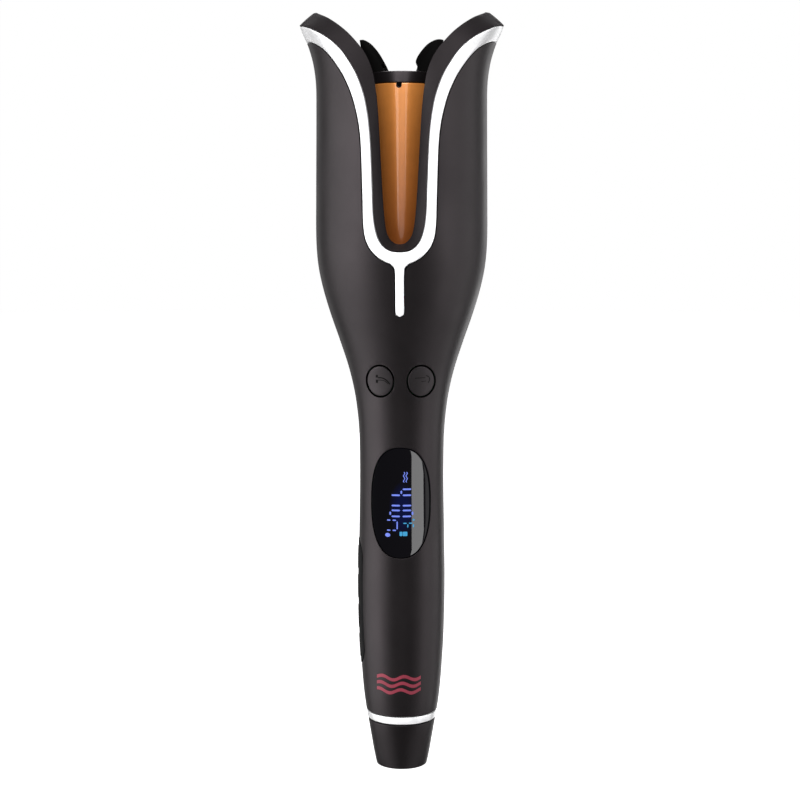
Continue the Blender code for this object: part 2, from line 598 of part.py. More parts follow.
# ---------------------------------------------------------------- wires
def wire(name, route, finish, radius=0.8):
    """An insulated lead on a smooth curve through the points of its route."""
    curve = bpy.data.curves.new(name, "CURVE")
    curve.dimensions = "3D"
    curve.bevel_depth = radius * MM
    curve.bevel_resolution = 1
    curve.use_fill_caps = True
    points = []
    padded = [route[0]] + route + [route[-1]]
    for i in range(1, len(padded) - 2):
        p0, p1, p2, p3 = (Vector(p) for p in padded[i - 1:i + 3])
        for s in range(3):
            t = s / 3
            points.append(0.5 * (2 * p1 + (p2 - p0) * t + (2 * p0 - 5 * p1 + 4 * p2 - p3) * t**2
                                 + (3 * p1 - p0 - 3 * p2 + p3) * t**3))
    points.append(Vector(route[-1]))
    spline = curve.splines.new("POLY")
    spline.points.add(len(points) - 1)
    for place, point in zip(spline.points, points):
        place.co = (*(point * MM), 1.0)
    obj = bpy.data.objects.new(name, curve)
    bpy.context.scene.collection.objects.link(obj)
    curve.materials.append(finish)


def make_wires(red, black, white):
    for name, side, finish in (("heater_lead_live", 1, red), ("heater_lead_neutral", -1, white)):
        x = side * 1.4
        wire(name, [(-5.6 + x, 1.4, 94.2), (-5.6 + x, -0.5, 104.0), (-5.6 + x, -0.8, 140.0), (-5.6 + x, -1.0, 175.0),
                    (-4.0 + x, -1.0, 196.0), (x * 0.9, -2.2, 206.5), (x * 0.9, -1.2, 212.0), (x * 0.9, -0.4, 224.0),
                    (x * 0.9, 0.0, 240.0)], finish)
    for name, x, finish in (("motor_lead_red", 4.2, red), ("motor_lead_black", 6.5, black)):
        wire(name, [(x, -5.2, 131.0), (x + 0.6, -1.0, 134.0), (x + 1.5, 3.0, 145.0), (x + 1.5, 7.0, 160.0),
                    (x + 0.4, 9.4, 170.0), (x, 9.8, 175.6)], finish, 0.7)


# ---------------------------------------------------------------- assembly
def build():
    for old in list(bpy.data.objects):
        bpy.data.objects.remove(old, do_unlink=True)
    shell = material("soft_touch_black", (0.052, 0.048, 0.050), 0.45)
    liner = material("chamber_black", (0.030, 0.028, 0.030), 0.4)
    gloss = material("gloss_black", (0.012, 0.012, 0.013), 0.15)
    bright = material("bright_trim", (0.86, 0.86, 0.87), 0.12, 1.0)
    copper = material("copper_coating", (0.62, 0.30, 0.12), 0.35, 0.8)
    cap = material("cap_black", (0.02, 0.02, 0.021), 0.3)
    glass = material("display_glass", (0.008, 0.008, 0.012), 0.05)
    rubber = material("boot_rubber", (0.04, 0.038, 0.040), 0.6)
    board = material("circuit_board", (0.03, 0.16, 0.07), 0.5)
    dark = material("component_black", (0.03, 0.03, 0.03), 0.5)
    steel = material("steel", (0.55, 0.55, 0.56), 0.3, 1.0)
    aluminium = material("aluminium", (0.75, 0.75, 0.76), 0.35, 1.0)
    brass = material("brass", (0.72, 0.55, 0.25), 0.3, 1.0)
    polymer = material("natural_polymer", (0.75, 0.73, 0.68), 0.5)
    ceramic = material("ceramic", (0.70, 0.68, 0.62), 0.6)
    red = material("lead_red", (0.55, 0.04, 0.03), 0.5)
    black = material("lead_black", (0.02, 0.02, 0.02), 0.5)
    white = material("lead_white", (0.7, 0.7, 0.68), 0.5)

    make_housings(shell)
    make_liner(liner)
    make_trim("front_trim", -1, bright)
    make_trim("rear_trim", 1, bright)
    make_display(glass, dark)
    make_direction_button("curl_left_button", -1, shell)
    make_direction_button("curl_right_button", 1, shell)
    make_side_panel(gloss, shell)
    make_electronics(board, dark)
    make_rotor(copper, cap, polymer, steel, brass)
    make_heater(aluminium, ceramic, steel, polymer)
    make_drive(aluminium, steel)
    make_handle_end(rubber, bright, polymer, brass)
    make_case_screws(steel)
    make_wires(red, black, white)


build()
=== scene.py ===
"""Automatic hair curler: the finished surfaces, materials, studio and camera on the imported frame.

Lengths are in millimetres unless a name ends in _m. The long axis is Z and the display faces -Y.
"""

import math

import bmesh
import bpy
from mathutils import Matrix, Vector


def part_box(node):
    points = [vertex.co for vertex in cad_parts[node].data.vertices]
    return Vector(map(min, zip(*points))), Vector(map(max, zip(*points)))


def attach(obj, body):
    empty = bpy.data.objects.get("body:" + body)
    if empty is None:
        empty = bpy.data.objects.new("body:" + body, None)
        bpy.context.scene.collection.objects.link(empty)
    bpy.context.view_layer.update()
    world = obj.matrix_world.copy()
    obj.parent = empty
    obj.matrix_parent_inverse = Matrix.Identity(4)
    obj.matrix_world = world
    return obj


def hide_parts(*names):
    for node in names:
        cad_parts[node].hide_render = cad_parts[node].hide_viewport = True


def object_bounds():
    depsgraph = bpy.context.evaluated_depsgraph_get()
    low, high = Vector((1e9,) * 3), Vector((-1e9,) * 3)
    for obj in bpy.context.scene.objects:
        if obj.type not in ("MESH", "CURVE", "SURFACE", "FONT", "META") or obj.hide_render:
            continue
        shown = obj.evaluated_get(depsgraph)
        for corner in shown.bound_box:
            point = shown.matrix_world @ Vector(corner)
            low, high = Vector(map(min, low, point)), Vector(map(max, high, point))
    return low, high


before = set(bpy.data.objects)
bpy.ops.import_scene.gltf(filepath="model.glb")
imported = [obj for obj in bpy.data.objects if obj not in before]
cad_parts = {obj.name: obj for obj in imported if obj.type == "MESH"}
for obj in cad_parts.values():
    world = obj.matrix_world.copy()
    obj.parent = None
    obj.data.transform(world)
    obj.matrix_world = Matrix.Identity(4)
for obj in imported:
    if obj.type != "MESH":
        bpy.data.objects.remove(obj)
cad_low, cad_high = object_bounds()

MM = 0.001
GAP = 0.3                   # between the pieces that meet on the outside
WALL = 2.4                  # thickness of the housings
SPLIT = 0.15                # half of the seam between the two housings, at the skin
SEAM_FOOT = 0.004           # half of the seam at the inside of the wall
HOUSING_TIP_ANGLE = 86.0    # where the housing's upper edge ends, in degrees from the display side
SIDE_NAMES = {-1: "left", 1: "right"}

# Each row is (z, radius) for SKIN and CHAMBER, (degrees from the display side, z) for the three edges of the
# lip and trim, and (x, z) for the trim's tail.
SKIN = [
    (18.0, 14.6), (24.9, 15.7), (33.0, 16.8), (45.0, 17.8), (62.0, 18.7), (84.0, 19.05), (105.0, 18.75),
    (130.0, 18.4), (150.0, 18.7), (160.0, 19.6), (168.0, 20.85), (178.0, 23.25), (190.0, 27.15),
    (201.0, 30.95), (212.0, 34.2), (222.0, 36.25), (233.0, 37.1), (250.0, 37.1), (290.0, 36.8),
    (300.0, 36.95), (308.0, 38.0), (314.0, 39.6), (318.0, 41.1), (324.4, 43.9), (332.0, 46.9),
]
CHAMBER = [
    (225.0, 31.6), (290.0, 31.6), (302.0, 31.9), (310.0, 32.7), (318.0, 34.2), (324.0, 35.9), (330.0, 37.9),
    (334.0, 39.3),
]
LIP_INNER = [
    (0.0, 231.7), (3.9, 232.2), (7.6, 234.2), (10.0, 237.7), (11.7, 245.0), (13.3, 258.0), (15.0, 275.4),
    (16.7, 289.5), (19.8, 301.6), (25.2, 309.7), (33.0, 315.7), (42.5, 321.0), (56.0, 326.0), (72.0, 329.4),
    (90.0, 330.0),
]
LIP_OUTER = [
    (0.0, 228.5), (6.2, 229.2), (11.0, 231.4), (14.6, 235.6), (17.0, 243.5), (17.7, 257.0), (19.2, 276.0),
    (22.2, 289.4), (27.4, 299.4), (33.5, 306.5), (40.5, 312.7), (50.0, 317.7), (63.0, 321.6), (75.5, 323.6),
    (90.0, 324.4),
]
TRIM_OUTER = [
    (6.2, 223.2), (11.0, 224.5), (16.2, 226.8), (21.6, 231.3), (24.3, 238.5), (25.4, 256.0), (27.0, 276.5),
    (31.5, 289.6), (38.4, 299.3), (46.0, 306.2), (54.5, 311.8), (62.5, 314.6), (71.5, 316.2), (80.5, 316.7),
    (90.0, 317.0),
]
TAIL = [(0.0, 201.2), (1.4, 201.8), (2.1, 203.3), (2.1, 212.0), (2.3, 221.0)]


# ---- curves
def at(table, z):
    """The value of a smooth curve through the table's (z, value) rows."""
    rows = [table[0]] + table + [table[-1]]
    for i in range(1, len(rows) - 2):
        (z0, v0), (z1, v1), (z2, v2), (z3, v3) = rows[i - 1:i + 3]
        if z <= z2 or i == len(rows) - 3:
            t = (z - z1) / (z2 - z1)
            span = z2 - z1
            m1 = span * (v2 - v0) / (z2 - z0)
            m2 = span * (v3 - v1) / (z3 - z1)
            return ((2 * t**3 - 3 * t**2 + 1) * v1 + (t**3 - 2 * t**2 + t) * m1
                    + (3 * t**2 - 2 * t**3) * v2 + (t**3 - t**2) * m2)
    return table[-1][1]


def skin(z):
    return at(SKIN, z)


def chamber(z):
    return at(CHAMBER, z)


def on_skin(degrees, z, inset=0.0, side=-1):
    a = math.radians(degrees)
    r = skin(z) - inset
    return (r * math.sin(a), side * r * math.cos(a), z)


def angle_at(x, z):
    return math.degrees(math.asin(max(-1.0, min(1.0, x / skin(z)))))


def smooth_path(rows, steps):
    """A Catmull-Rom curve through the rows, with steps points to each stretch."""
    padded = [tuple(2 * a - b for a, b in zip(rows[0], rows[1]))] + list(rows)
    padded += [tuple(2 * a - b for a, b in zip(rows[-1], rows[-2]))]
    path = []
    for i in range(1, len(padded) - 2):
        p0, p1, p2, p3 = padded[i - 1:i + 3]
        for s in range(steps):
            t = s / steps
            path.append(tuple(
                0.5 * (2 * b + (c - a) * t + (2 * a - 5 * b + 4 * c - d) * t**2
                       + (3 * b - a - 3 * c + d) * t**3)
                for a, b, c, d in zip(p0, p1, p2, p3)))
    path.append(tuple(rows[-1]))
    return path


# ---- materials
def set_inputs(node, values):
    for name, value in values.items():
        node.inputs[name].default_value = value


def new_material(name, colour, roughness, metallic=0.0, specular=0.5, coat=0.0, coat_roughness=0.08,
                 gloss_tint=(1.0, 1.0, 1.0)):
    made = bpy.data.materials.new(name)
    made.use_nodes = True
    shader = made.node_tree.nodes["Principled BSDF"]
    set_inputs(shader, {
        "Base Color": (*colour, 1.0), "Roughness": roughness, "Metallic": metallic, "Coat Weight": coat,
        "Coat Roughness": coat_roughness, "Specular IOR Level": specular, "Specular Tint": (*gloss_tint, 1.0),
    })
    made.diffuse_color = (*colour, 1.0)
    return made, made.node_tree, shader


def object_space(tree):
    return tree.nodes.new("ShaderNodeTexCoord").outputs["Object"]


def noise(tree, scale, detail=3.0, stretch=None):
    """Noise in the object's own space. Its scale is per metre, and stretch scales X, Y and Z first."""
    source = object_space(tree)
    texture = tree.nodes.new("ShaderNodeTexNoise")
    set_inputs(texture, {"Scale": scale, "Detail": detail})
    if stretch:
        mapping = tree.nodes.new("ShaderNodeMapping")
        mapping.inputs["Scale"].default_value = stretch
        tree.links.new(source, mapping.inputs["Vector"])
        source = mapping.outputs["Vector"]
    tree.links.new(source, texture.inputs["Vector"])
    return texture.outputs["Fac"]


def vary(tree, factor, target, low, high, spread=(0.3, 0.7)):
    """Feeds a socket a value between low and high that follows the factor."""
    mapped = tree.nodes.new("ShaderNodeMapRange")
    set_inputs(mapped, {"From Min": spread[0], "From Max": spread[1], "To Min": low, "To Max": high})
    tree.links.new(factor, mapped.inputs["Value"])
    tree.links.new(mapped.outputs["Result"], target)


def tint(tree, factor, target, dark, light, spread=(0.3, 0.7)):
    """Feeds a socket a colour between dark and light that follows the factor."""
    ramp = tree.nodes.new("ShaderNodeValToRGB")
    for element, place, colour in zip(ramp.color_ramp.elements, spread, (dark, light)):
        element.position, element.color = place, (*colour, 1.0)
    tree.links.new(factor, ramp.inputs["Fac"])
    tree.links.new(ramp.outputs["Color"], target)


def relief(tree, shader, factor, height_mm, strength=1.0):
    bump = tree.nodes.new("ShaderNodeBump")
    set_inputs(bump, {"Strength": strength, "Distance": height_mm * MM})
    tree.links.new(factor, bump.inputs["Height"])
    tree.links.new(bump.outputs["Normal"], shader.inputs["Normal"])


def vary_roughness(tree, shader, factor, roughness, spread):
    vary(tree, factor, shader.inputs["Roughness"], roughness * (1 - spread), roughness * (1 + spread))


def moulded(name, colour, roughness, grain=0.006, specular=0.5, gloss_tint=(1.0, 1.0, 1.0)):
    """Moulded plastic: a fine spark-eroded grain, and a faint unevenness in colour and gloss."""
    made, tree, shader = new_material(name, colour, roughness, specular=specular, gloss_tint=gloss_tint)
    relief(tree, shader, noise(tree, 2600.0, 2.0), grain, 0.6)
    vary_roughness(tree, shader, noise(tree, 45.0, 4.0), roughness, 0.12)
    dark, light = [c * 0.88 for c in colour], [c * 1.12 for c in colour]
    tint(tree, noise(tree, 110.0, 3.0), shader.inputs["Base Color"], dark, light)
    return made


def metal(name, colour, roughness, stretch=(1.0, 1.0, 1.0), scale=900.0, height=0.002, metallic=1.0,
          spread=0.2):
    """Worked metal: stretch lays the fine marks along one direction."""
    made, tree, shader = new_material(name, colour, roughness, metallic)
    marks = noise(tree, scale, 4.0, stretch)
    relief(tree, shader, marks, height, 0.5)
    vary_roughness(tree, shader, marks, roughness, spread)
    dark = [c * (1 - spread / 4) for c in colour]
    tint(tree, noise(tree, 160.0, 2.0), shader.inputs["Base Color"], dark, colour)
    return made


def glowing(name, colour, strength):
    made, tree, shader = new_material(name, (0.005, 0.005, 0.01), 0.3)
    shader.inputs["Emission Strength"].default_value = strength
    cell = noise(tree, 1800.0, 1.0)
    tint(tree, cell, shader.inputs["Emission Color"], [c * 0.8 for c in colour], colour)
    return made


def lens_material():
    """Dark glass, with the faint blue of the lit display fading out around the digits."""
    middle_x_m, middle_z_m, reach_x_m, reach_z_m = 0.0008, 0.1175, 0.0085, 0.0175
    edge, glow = (0.0012, 0.0011, 0.0022), (0.0006, 0.0036, 0.038)
    colour = (0.004, 0.003, 0.004)
    made, tree, shader = new_material("display_glass", colour, 0.05, coat=0.5, coat_roughness=0.04)
    vary(tree, noise(tree, 60.0, 3.0), shader.inputs["Roughness"], 0.04, 0.07)
    mapping = tree.nodes.new("ShaderNodeMapping")
    set_inputs(mapping, {"Scale": (1 / reach_x_m, 0.0, 1 / reach_z_m),
                         "Location": (-middle_x_m / reach_x_m, 0.0, -middle_z_m / reach_z_m)})
    gradient = tree.nodes.new("ShaderNodeTexGradient")
    gradient.gradient_type = "SPHERICAL"
    tree.links.new(object_space(tree), mapping.inputs["Vector"])
    tree.links.new(mapping.outputs["Vector"], gradient.inputs["Vector"])
    tint(tree, gradient.outputs["Fac"], shader.inputs["Emission Color"], edge, glow)
    shader.inputs["Emission Strength"].default_value = 1.0
    return made


def circuit_material():
    made, tree, shader = new_material("circuit_board", (0.02, 0.13, 0.06), 0.35, coat=0.3)
    tracks = tree.nodes.new("ShaderNodeTexVoronoi")
    tracks.feature = "DISTANCE_TO_EDGE"
    tracks.inputs["Scale"].default_value = 320.0
    tree.links.new(object_space(tree), tracks.inputs["Vector"])
    track, board = (0.03, 0.20, 0.09), (0.012, 0.09, 0.045)
    tint(tree, tracks.outputs["Distance"], shader.inputs["Base Color"], track, board)
    vary(tree, noise(tree, 200.0), shader.inputs["Roughness"], 0.28, 0.45)
    return made


def copper_material():
    """The coated barrel: a fine turned grain under a clear coat, with painted shade that darkens it towards
    its lower end, deep in the chamber.
    """
    colour = (0.74, 0.24, 0.055)
    # The painted shade runs between these heights, in metres: darkest at the lower one.
    shade_low_z_m, shade_high_z_m = 0.230, 0.302
    made, tree, shader = new_material("copper_coating", colour, 0.38, 0.35, coat=0.62, coat_roughness=0.09)
    shader.inputs["Coat IOR"].default_value = 1.9
    turned = noise(tree, 420.0, 4.0, (1.0, 1.0, 9.0))
    relief(tree, shader, turned, 0.0015, 0.4)
    vary(tree, turned, shader.inputs["Roughness"], 0.34, 0.42)
    split = tree.nodes.new("ShaderNodeSeparateXYZ")
    tree.links.new(object_space(tree), split.inputs["Vector"])
    rise = tree.nodes.new("ShaderNodeMapRange")
    set_inputs(rise, {"From Min": shade_low_z_m, "From Max": shade_high_z_m})
    tree.links.new(split.outputs["Z"], rise.inputs["Value"])
    # Painted shade, multiplied by a faint random unevenness in tone.
    shade_and_mottle = tree.nodes.new("ShaderNodeMix")
    shade_and_mottle.data_type = "RGBA"
    shade_and_mottle.blend_type = "MULTIPLY"
    shade_and_mottle.inputs["Factor"].default_value = 1.0
    # Painted shade: the barrel's colour is darkest at its lower end, deep in the chamber, and lightest at its
    # top.
    shaded_root, top = (0.46, 0.122, 0.021), (0.90, 0.325, 0.066)
    tint(tree, rise.outputs["Result"], shade_and_mottle.inputs["A"], shaded_root, top, (0.0, 1.0))
    tint(tree, noise(tree, 240.0, 3.0), shade_and_mottle.inputs["B"], (0.93, 0.93, 0.93), (1.0, 1.0, 1.0))
    tree.links.new(shade_and_mottle.outputs["Result"], shader.inputs["Base Color"])
    return made


WARM = (1.0, 0.87, 0.92)
SHELL = moulded("soft_touch_black", (0.0120, 0.0105, 0.0110), 0.40, gloss_tint=WARM)
LINER = moulded("chamber_black", (0.015, 0.013, 0.014), 0.60, gloss_tint=WARM)
CAP = moulded("cap_black", (0.004, 0.0035, 0.0035), 0.30, grain=0.002, specular=0.13)
CAP_DISC = moulded("cap_disc_black", (0.004, 0.0035, 0.0035), 0.40, grain=0.002, specular=0.9,
                   gloss_tint=WARM)
BUTTON_BLACK = moulded("button_black", (0.026, 0.024, 0.025), 0.42, gloss_tint=WARM)
PANEL = moulded("gloss_black", (0.004, 0.004, 0.0045), 0.45, grain=0.001, specular=0.12)
SIDE_BUTTON_BLACK = moulded("side_button_black", (0.006, 0.0055, 0.006), 0.5, specular=0.2, gloss_tint=WARM)
BOOT = moulded("boot_black", (0.0065, 0.0057, 0.0060), 0.42, specular=0.42, gloss_tint=WARM)
DARK = moulded("component_black", (0.025, 0.025, 0.027), 0.45)
POLYMER = moulded("natural_polymer", (0.62, 0.58, 0.50), 0.4)
CERAMIC = moulded("ceramic", (0.66, 0.63, 0.57), 0.7, grain=0.02)
BRIGHT = metal("bright_trim", (0.93, 0.93, 0.94), 0.28, scale=70.0, height=0.00002, metallic=0.4, spread=0.03)
COPPER = copper_material()
STEEL = metal("steel", (0.56, 0.56, 0.57), 0.32, (1.0, 1.0, 8.0))
ALUMINIUM = metal("aluminium", (0.74, 0.74, 0.75), 0.38)
BRASS = metal("brass", (0.74, 0.54, 0.22), 0.3, (1.0, 1.0, 6.0))
BOARD = circuit_material()
RED_LEAD = moulded("lead_red", (0.45, 0.03, 0.02), 0.4)
BLACK_LEAD = moulded("lead_black", (0.015, 0.015, 0.015), 0.4)
WHITE_LEAD = moulded("lead_white", (0.62, 0.62, 0.60), 0.4)
LENS = lens_material()
MARK_RED = moulded("printed_red", (0.46, 0.06, 0.10), 0.5, grain=0.002)
ICON = moulded("printed_icon", (0.003, 0.003, 0.003), 0.5, grain=0.001, specular=0.06)
ICON_PALE = moulded("printed_pale_icon", (0.42, 0.42, 0.43), 0.5, grain=0.001)
BLUE = glowing("display_blue", (0.19, 0.27, 0.92), 1.15)
CYAN = glowing("display_cyan", (0.06, 0.40, 0.72), 1.0)


# ---- meshes
def finished(obj, finish, body, stands_for=()):
    """Gives a piece its material, its body and the CAD nodes it stands for."""
    if finish:
        obj.data.materials.clear()
        obj.data.materials.append(finish)
    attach(obj, body)
    if stands_for:
        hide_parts(*stands_for)
    return obj


EDGE_ANGLE = 32.0


def shaded(mesh, sharp=EDGE_ANGLE):
    """Smooth shading that keeps the edges sharper than this angle, in degrees."""
    mesh.shade_smooth()
    mesh.set_sharp_from_angle(angle=math.radians(sharp))


def placed(name, work, sharp):
    """Turns the finished bmesh into an object in the scene."""
    bmesh.ops.recalc_face_normals(work, faces=work.faces)
    mesh = bpy.data.meshes.new(name)
    work.to_mesh(mesh)
    work.free()
    shaded(mesh, sharp)
    obj = bpy.data.objects.new(name, mesh)
    bpy.context.scene.collection.objects.link(obj)
    return obj


def add_mesh(name, points, faces, sharp=EDGE_ANGLE, weld=0.002):
    work = bmesh.new()
    verts = [work.verts.new(Vector(p) * MM) for p in points]
    for face in faces:
        ring = [verts[i] for i in dict.fromkeys(face)]
        if len(ring) > 2:
            work.faces.new(ring)
    bmesh.ops.remove_doubles(work, verts=work.verts, dist=weld * MM)
    bmesh.ops.dissolve_degenerate(work, edges=work.edges, dist=0.0005 * MM)
    bmesh.ops.delete(work, geom=[edge for edge in work.edges if not edge.link_faces], context="EDGES")
    return placed(name, work, sharp)


def quads(rows, closed=False):
    n = len(rows[0])
    last = n if closed else n - 1
    return [(a[j], a[(j + 1) % n], b[(j + 1) % n], b[j]) for a, b in zip(rows, rows[1:]) for j in range(last)]


def mirrored(points, faces):
    n = len(points)
    return points + [(-x, y, z) for x, y, z in points], faces + [tuple(i + n for i in face) for face in faces]


def lathe(name, profile, steps=160, sharp=EDGE_ANGLE):
    points, faces = [], []
    n = len(profile)
    for s in range(steps):
        a = 2 * math.pi * s / steps
        points += [(r * math.cos(a), r * math.sin(a), z) for r, z in profile]
    for s in range(steps):
        here, there = s * n, (s + 1) % steps * n
        faces += [(here + k, here + (k + 1) % n, there + (k + 1) % n, there + k) for k in range(n)]
    return add_mesh(name, points, faces, sharp)


def rounded(profile, radii, steps=5):
    """Rounds a closed outline's corners. radii holds one radius for each corner, and 0 keeps it sharp."""
    outline = []
    n = len(profile)
    for k, (corner, radius) in enumerate(zip(profile, radii)):
        p = Vector(corner)
        if radius <= 0:
            outline.append(tuple(p))
            continue
        to_last, to_next = (Vector(profile[k - 1]) - p), (Vector(profile[(k + 1) % n]) - p)
        a, b = to_last.normalized(), to_next.normalized()
        half = a.angle(b) / 2
        reach = min(radius / math.tan(half), to_last.length * 0.48, to_next.length * 0.48)
        for s in range(steps + 1):
            t = s / steps
            start, end = p + a * reach, p + b * reach
            outline.append(tuple((1 - t)**2 * start + 2 * t * (1 - t) * p + t**2 * end))
    return outline


def prism(name, outline, axis, low, high):
    n = len(outline)
    places = {
        "X": [(w, u, v) for w in (low, high) for u, v in outline],
        "Y": [(u, w, v) for w in (low, high) for u, v in outline],
        "Z": [(u, v, w) for w in (low, high) for u, v in outline],
    }
    faces = [tuple(range(n)), tuple(range(2 * n - 1, n - 1, -1))]
    faces += [(k, (k + 1) % n, n + (k + 1) % n, n + k) for k in range(n)]
    return add_mesh(name, places[axis], faces)


LENS_PIECES = []
BRIGHT_PIECES = []
ROTOR_PIECES = []


def apply_modifiers(obj):
    """Turns the object's modifiers into mesh."""
    bpy.context.view_layer.update()
    seen = obj.evaluated_get(bpy.context.evaluated_depsgraph_get())
    mesh = bpy.data.meshes.new_from_object(seen)
    obj.modifiers.clear()
    obj.data = mesh


def bevel(obj, width, segments, angle):
    modifier = obj.modifiers.new("bevel", "BEVEL")
    modifier.width = width * MM
    modifier.segments = segments
    modifier.limit_method = "ANGLE"
    modifier.angle_limit = math.radians(angle)
    modifier.harden_normals = False
    apply_modifiers(obj)
    shaded(obj.data, 50.0)


def cut_all(obj, cutters):
    """Takes the cutters away from the object, and removes them."""
    for cutter in cutters:
        modifier = obj.modifiers.new("cut", "BOOLEAN")
        modifier.operation = "DIFFERENCE"
        modifier.solver = "EXACT"
        modifier.object = cutter
    apply_modifiers(obj)
    for cutter in cutters:
        bpy.data.objects.remove(cutter, do_unlink=True)


def ellipse(u, v, half_u, half_v, steps=96, power=2.0):
    def turned(a, trig):
        return math.copysign(abs(trig(a)) ** (2 / power), trig(a))

    angles = [2 * math.pi * s / steps for s in range(steps)]
    return [(u + half_u * turned(a, math.cos), v + half_v * turned(a, math.sin)) for a in angles]


def stadium(u, v, half_u, half_v, steps=48):
    straight = half_v - half_u
    outline = []
    for end, start in ((1, 0.0), (-1, math.pi)):
        for s in range(steps // 2 + 1):
            a = start + math.pi * s / (steps // 2)
            outline.append((u + half_u * math.cos(a), v + end * straight + half_u * math.sin(a)))
    return outline


def box_outline(u, v, half_u, half_v, radius, steps=8):
    outline = []
    for quarter, (su, sv) in enumerate(((1, 1), (-1, 1), (-1, -1), (1, -1))):
        for s in range(steps + 1):
            a = math.pi / 2 * (quarter + s / steps)
            outline.append((u + su * (half_u - radius) + radius * math.cos(a),
                            v + sv * (half_v - radius) + radius * math.sin(a)))
    return outline


def front_face(x, z, inset=0.0):
    return (x, -math.sqrt((skin(z) - inset) ** 2 - x * x), z)


def left_face(y, z, inset=0.0):
    return (-math.sqrt((skin(z) - inset) ** 2 - y * y), y, z)


def set_in(face, amount):
    """The same face standing further in, or further out where the amount is below 0."""
    return lambda u, v, inset=0.0: face(u, v, inset + amount)


def loft(name, layers, sharp=EDGE_ANGLE):
    """A closed body from a stack of equally long outlines, capped at both ends."""
    n = len(layers[0])
    points = [p for layer in layers for p in layer]
    rows = [list(range(k * n, (k + 1) * n)) for k in range(len(layers))]
    faces = quads(rows, closed=True) + [tuple(rows[0]), tuple(rows[-1])]
    return add_mesh(name, points, faces, sharp)


def shrunk(outline, share):
    """The outline drawn in towards its middle."""
    middle = Vector([sum(values) / len(outline) for values in zip(*outline)])
    return [tuple(middle + (Vector(p) - middle) * share) for p in outline]


def cap_layers(outline_at, face, rounding, rings=4, steps=4):
    """The layers of a rounded top, from its middle out: outline_at(grow) moves the outline in or out, and
    face(u, v, inset) puts a point on the skin."""
    full = outline_at(-rounding)
    layers = [[face(*p, 0.0) for p in shrunk(full, r / rings)] for r in range(1, rings + 1)]
    for s in range(1, steps + 1):
        a = math.pi / 2 * s / steps
        edge = outline_at(-rounding * (1 - math.sin(a)))
        layers.append([face(*p, rounding * (1 - math.cos(a))) for p in edge])
    return layers


def curved_back(outline, face, inset, rings=4):
    """The layers of a back that follows the skin, from the rim to the middle."""
    return [[face(*p, inset) for p in shrunk(outline, (rings - r) / rings)] for r in range(rings)]


def straight_front(x, z, y):
    return (x, y, z)


def straight_left(y, z, x):
    return (x, y, z)


def well(name, outline_at, face, straight, floor, rounding, steps=4):
    """A cutter for an opening whose edge is rounded where it meets the skin, and whose floor is flat."""
    outside = -45.0
    layers = [[straight(*p, outside) for p in outline_at(rounding + 0.02)]]
    for s in range(steps + 1):
        a = math.pi / 2 * s / steps
        grown = outline_at(rounding * (1 - math.sin(a)))
        layers.append([face(*p, rounding * (1 - math.cos(a)) - 0.01) for p in grown])
    layers.append([straight(*p, floor) for p in outline_at(0.0)])
    return loft(name, layers)


# ---- housings
# Middles and half sizes of the openings, each with its middle on x = 0 or y = 0 unless it has its own x.
WINDOW = {"z": 120.2, "half_w": 12.6, "half_h": 23.9, "power": 2.5}
BUTTON = {"x": 8.75, "z": 173.2, "half_w": 5.5, "half_h": 6.5, "back_y": -12.2}
PANEL_SIZE = {"z": 73.8, "half_w": 8.4, "half_h": 28.2}
SIDE_BUTTONS = {"power_button": 93.7, "heat_up_button": 80.4, "heat_down_button": 67.1, "timer_button": 53.9}
CASE_SCREWS = {
    "handle_screw_lower": (0.0, 36.5),
    "handle_screw_middle": (10.5, 97.0),
    "handle_screw_upper": (0.0, 160.0),
    "head_screw_left": (-24.0, 219.5),
    "head_screw_right": (24.0, 219.5),
}


EDGE_STEP = 0.15            # how far the housing stands back from the trim, beside the trim's own gap


def housing_edge():
    """The (degrees, z) edge of a housing: up its middle, round the tail and up along the trim."""
    bottom, tail_end = 25.2, 200.2
    rows = [(0.0, bottom + (tail_end - bottom) * k / 88) for k in range(89)]
    rim = [(angle_at(x, z), z) for x, z in smooth_path(TAIL, 5)]
    rim += smooth_path(TRIM_OUTER[:-1] + [(HOUSING_TIP_ANGLE, 316.95)], 7)
    for (a, z), (round_step, up_step) in zip(rim, edge_normals(rim, skin)):
        step = EDGE_STEP if a > 0.0 else 0.0
        rows.append((a + math.degrees(round_step * step / skin(z)), z + up_step * step))
    return rows


def make_housing(name, side, columns=56):
    points, outer, inner = [], [], []
    edge = housing_edge()
    for angle, z in edge:
        for grid, inset, split in ((outer, 0.0, SPLIT), (inner, WALL, SEAM_FOOT)):
            r = skin(z) - inset
            last = math.degrees(math.acos(split / r))
            row = []
            for c in range(columns + 1):
                row.append(len(points))
                points.append(on_skin(angle + (last - angle) * c / columns, z, inset, side))
            grid.append(row)
    first = [k for k, (angle, _) in enumerate(edge) if angle == 0.0][-1]
    faces = quads(outer) + quads(inner)
    faces += quads([[row[-1] for row in outer], [row[-1] for row in inner]])
    faces += quads([[row[0] for row in outer[first:]], [row[0] for row in inner[first:]]])
    faces += quads([outer[0], inner[0]]) + quads([outer[-1], inner[-1]])
    return add_mesh(name, *mirrored(points, faces))


def window_outline(grow):
    return ellipse(0.0, WINDOW["z"], WINDOW["half_w"] + grow, WINDOW["half_h"] + grow, 96, WINDOW["power"])


def button_outline(side):
    def outline(grow):
        return ellipse(side * BUTTON["x"], BUTTON["z"], BUTTON["half_w"] + grow, BUTTON["half_h"] + grow, 72)
    return outline


def panel_outline(grow):
    return stadium(0.0, PANEL_SIZE["z"], PANEL_SIZE["half_w"] + grow, PANEL_SIZE["half_h"] + grow)


def opened(outline, clearance):
    return lambda grow: outline(grow + clearance)


def panel_well(name):
    return well(name, opened(panel_outline, 0.25), left_face, straight_left, -10.0, 0.2)


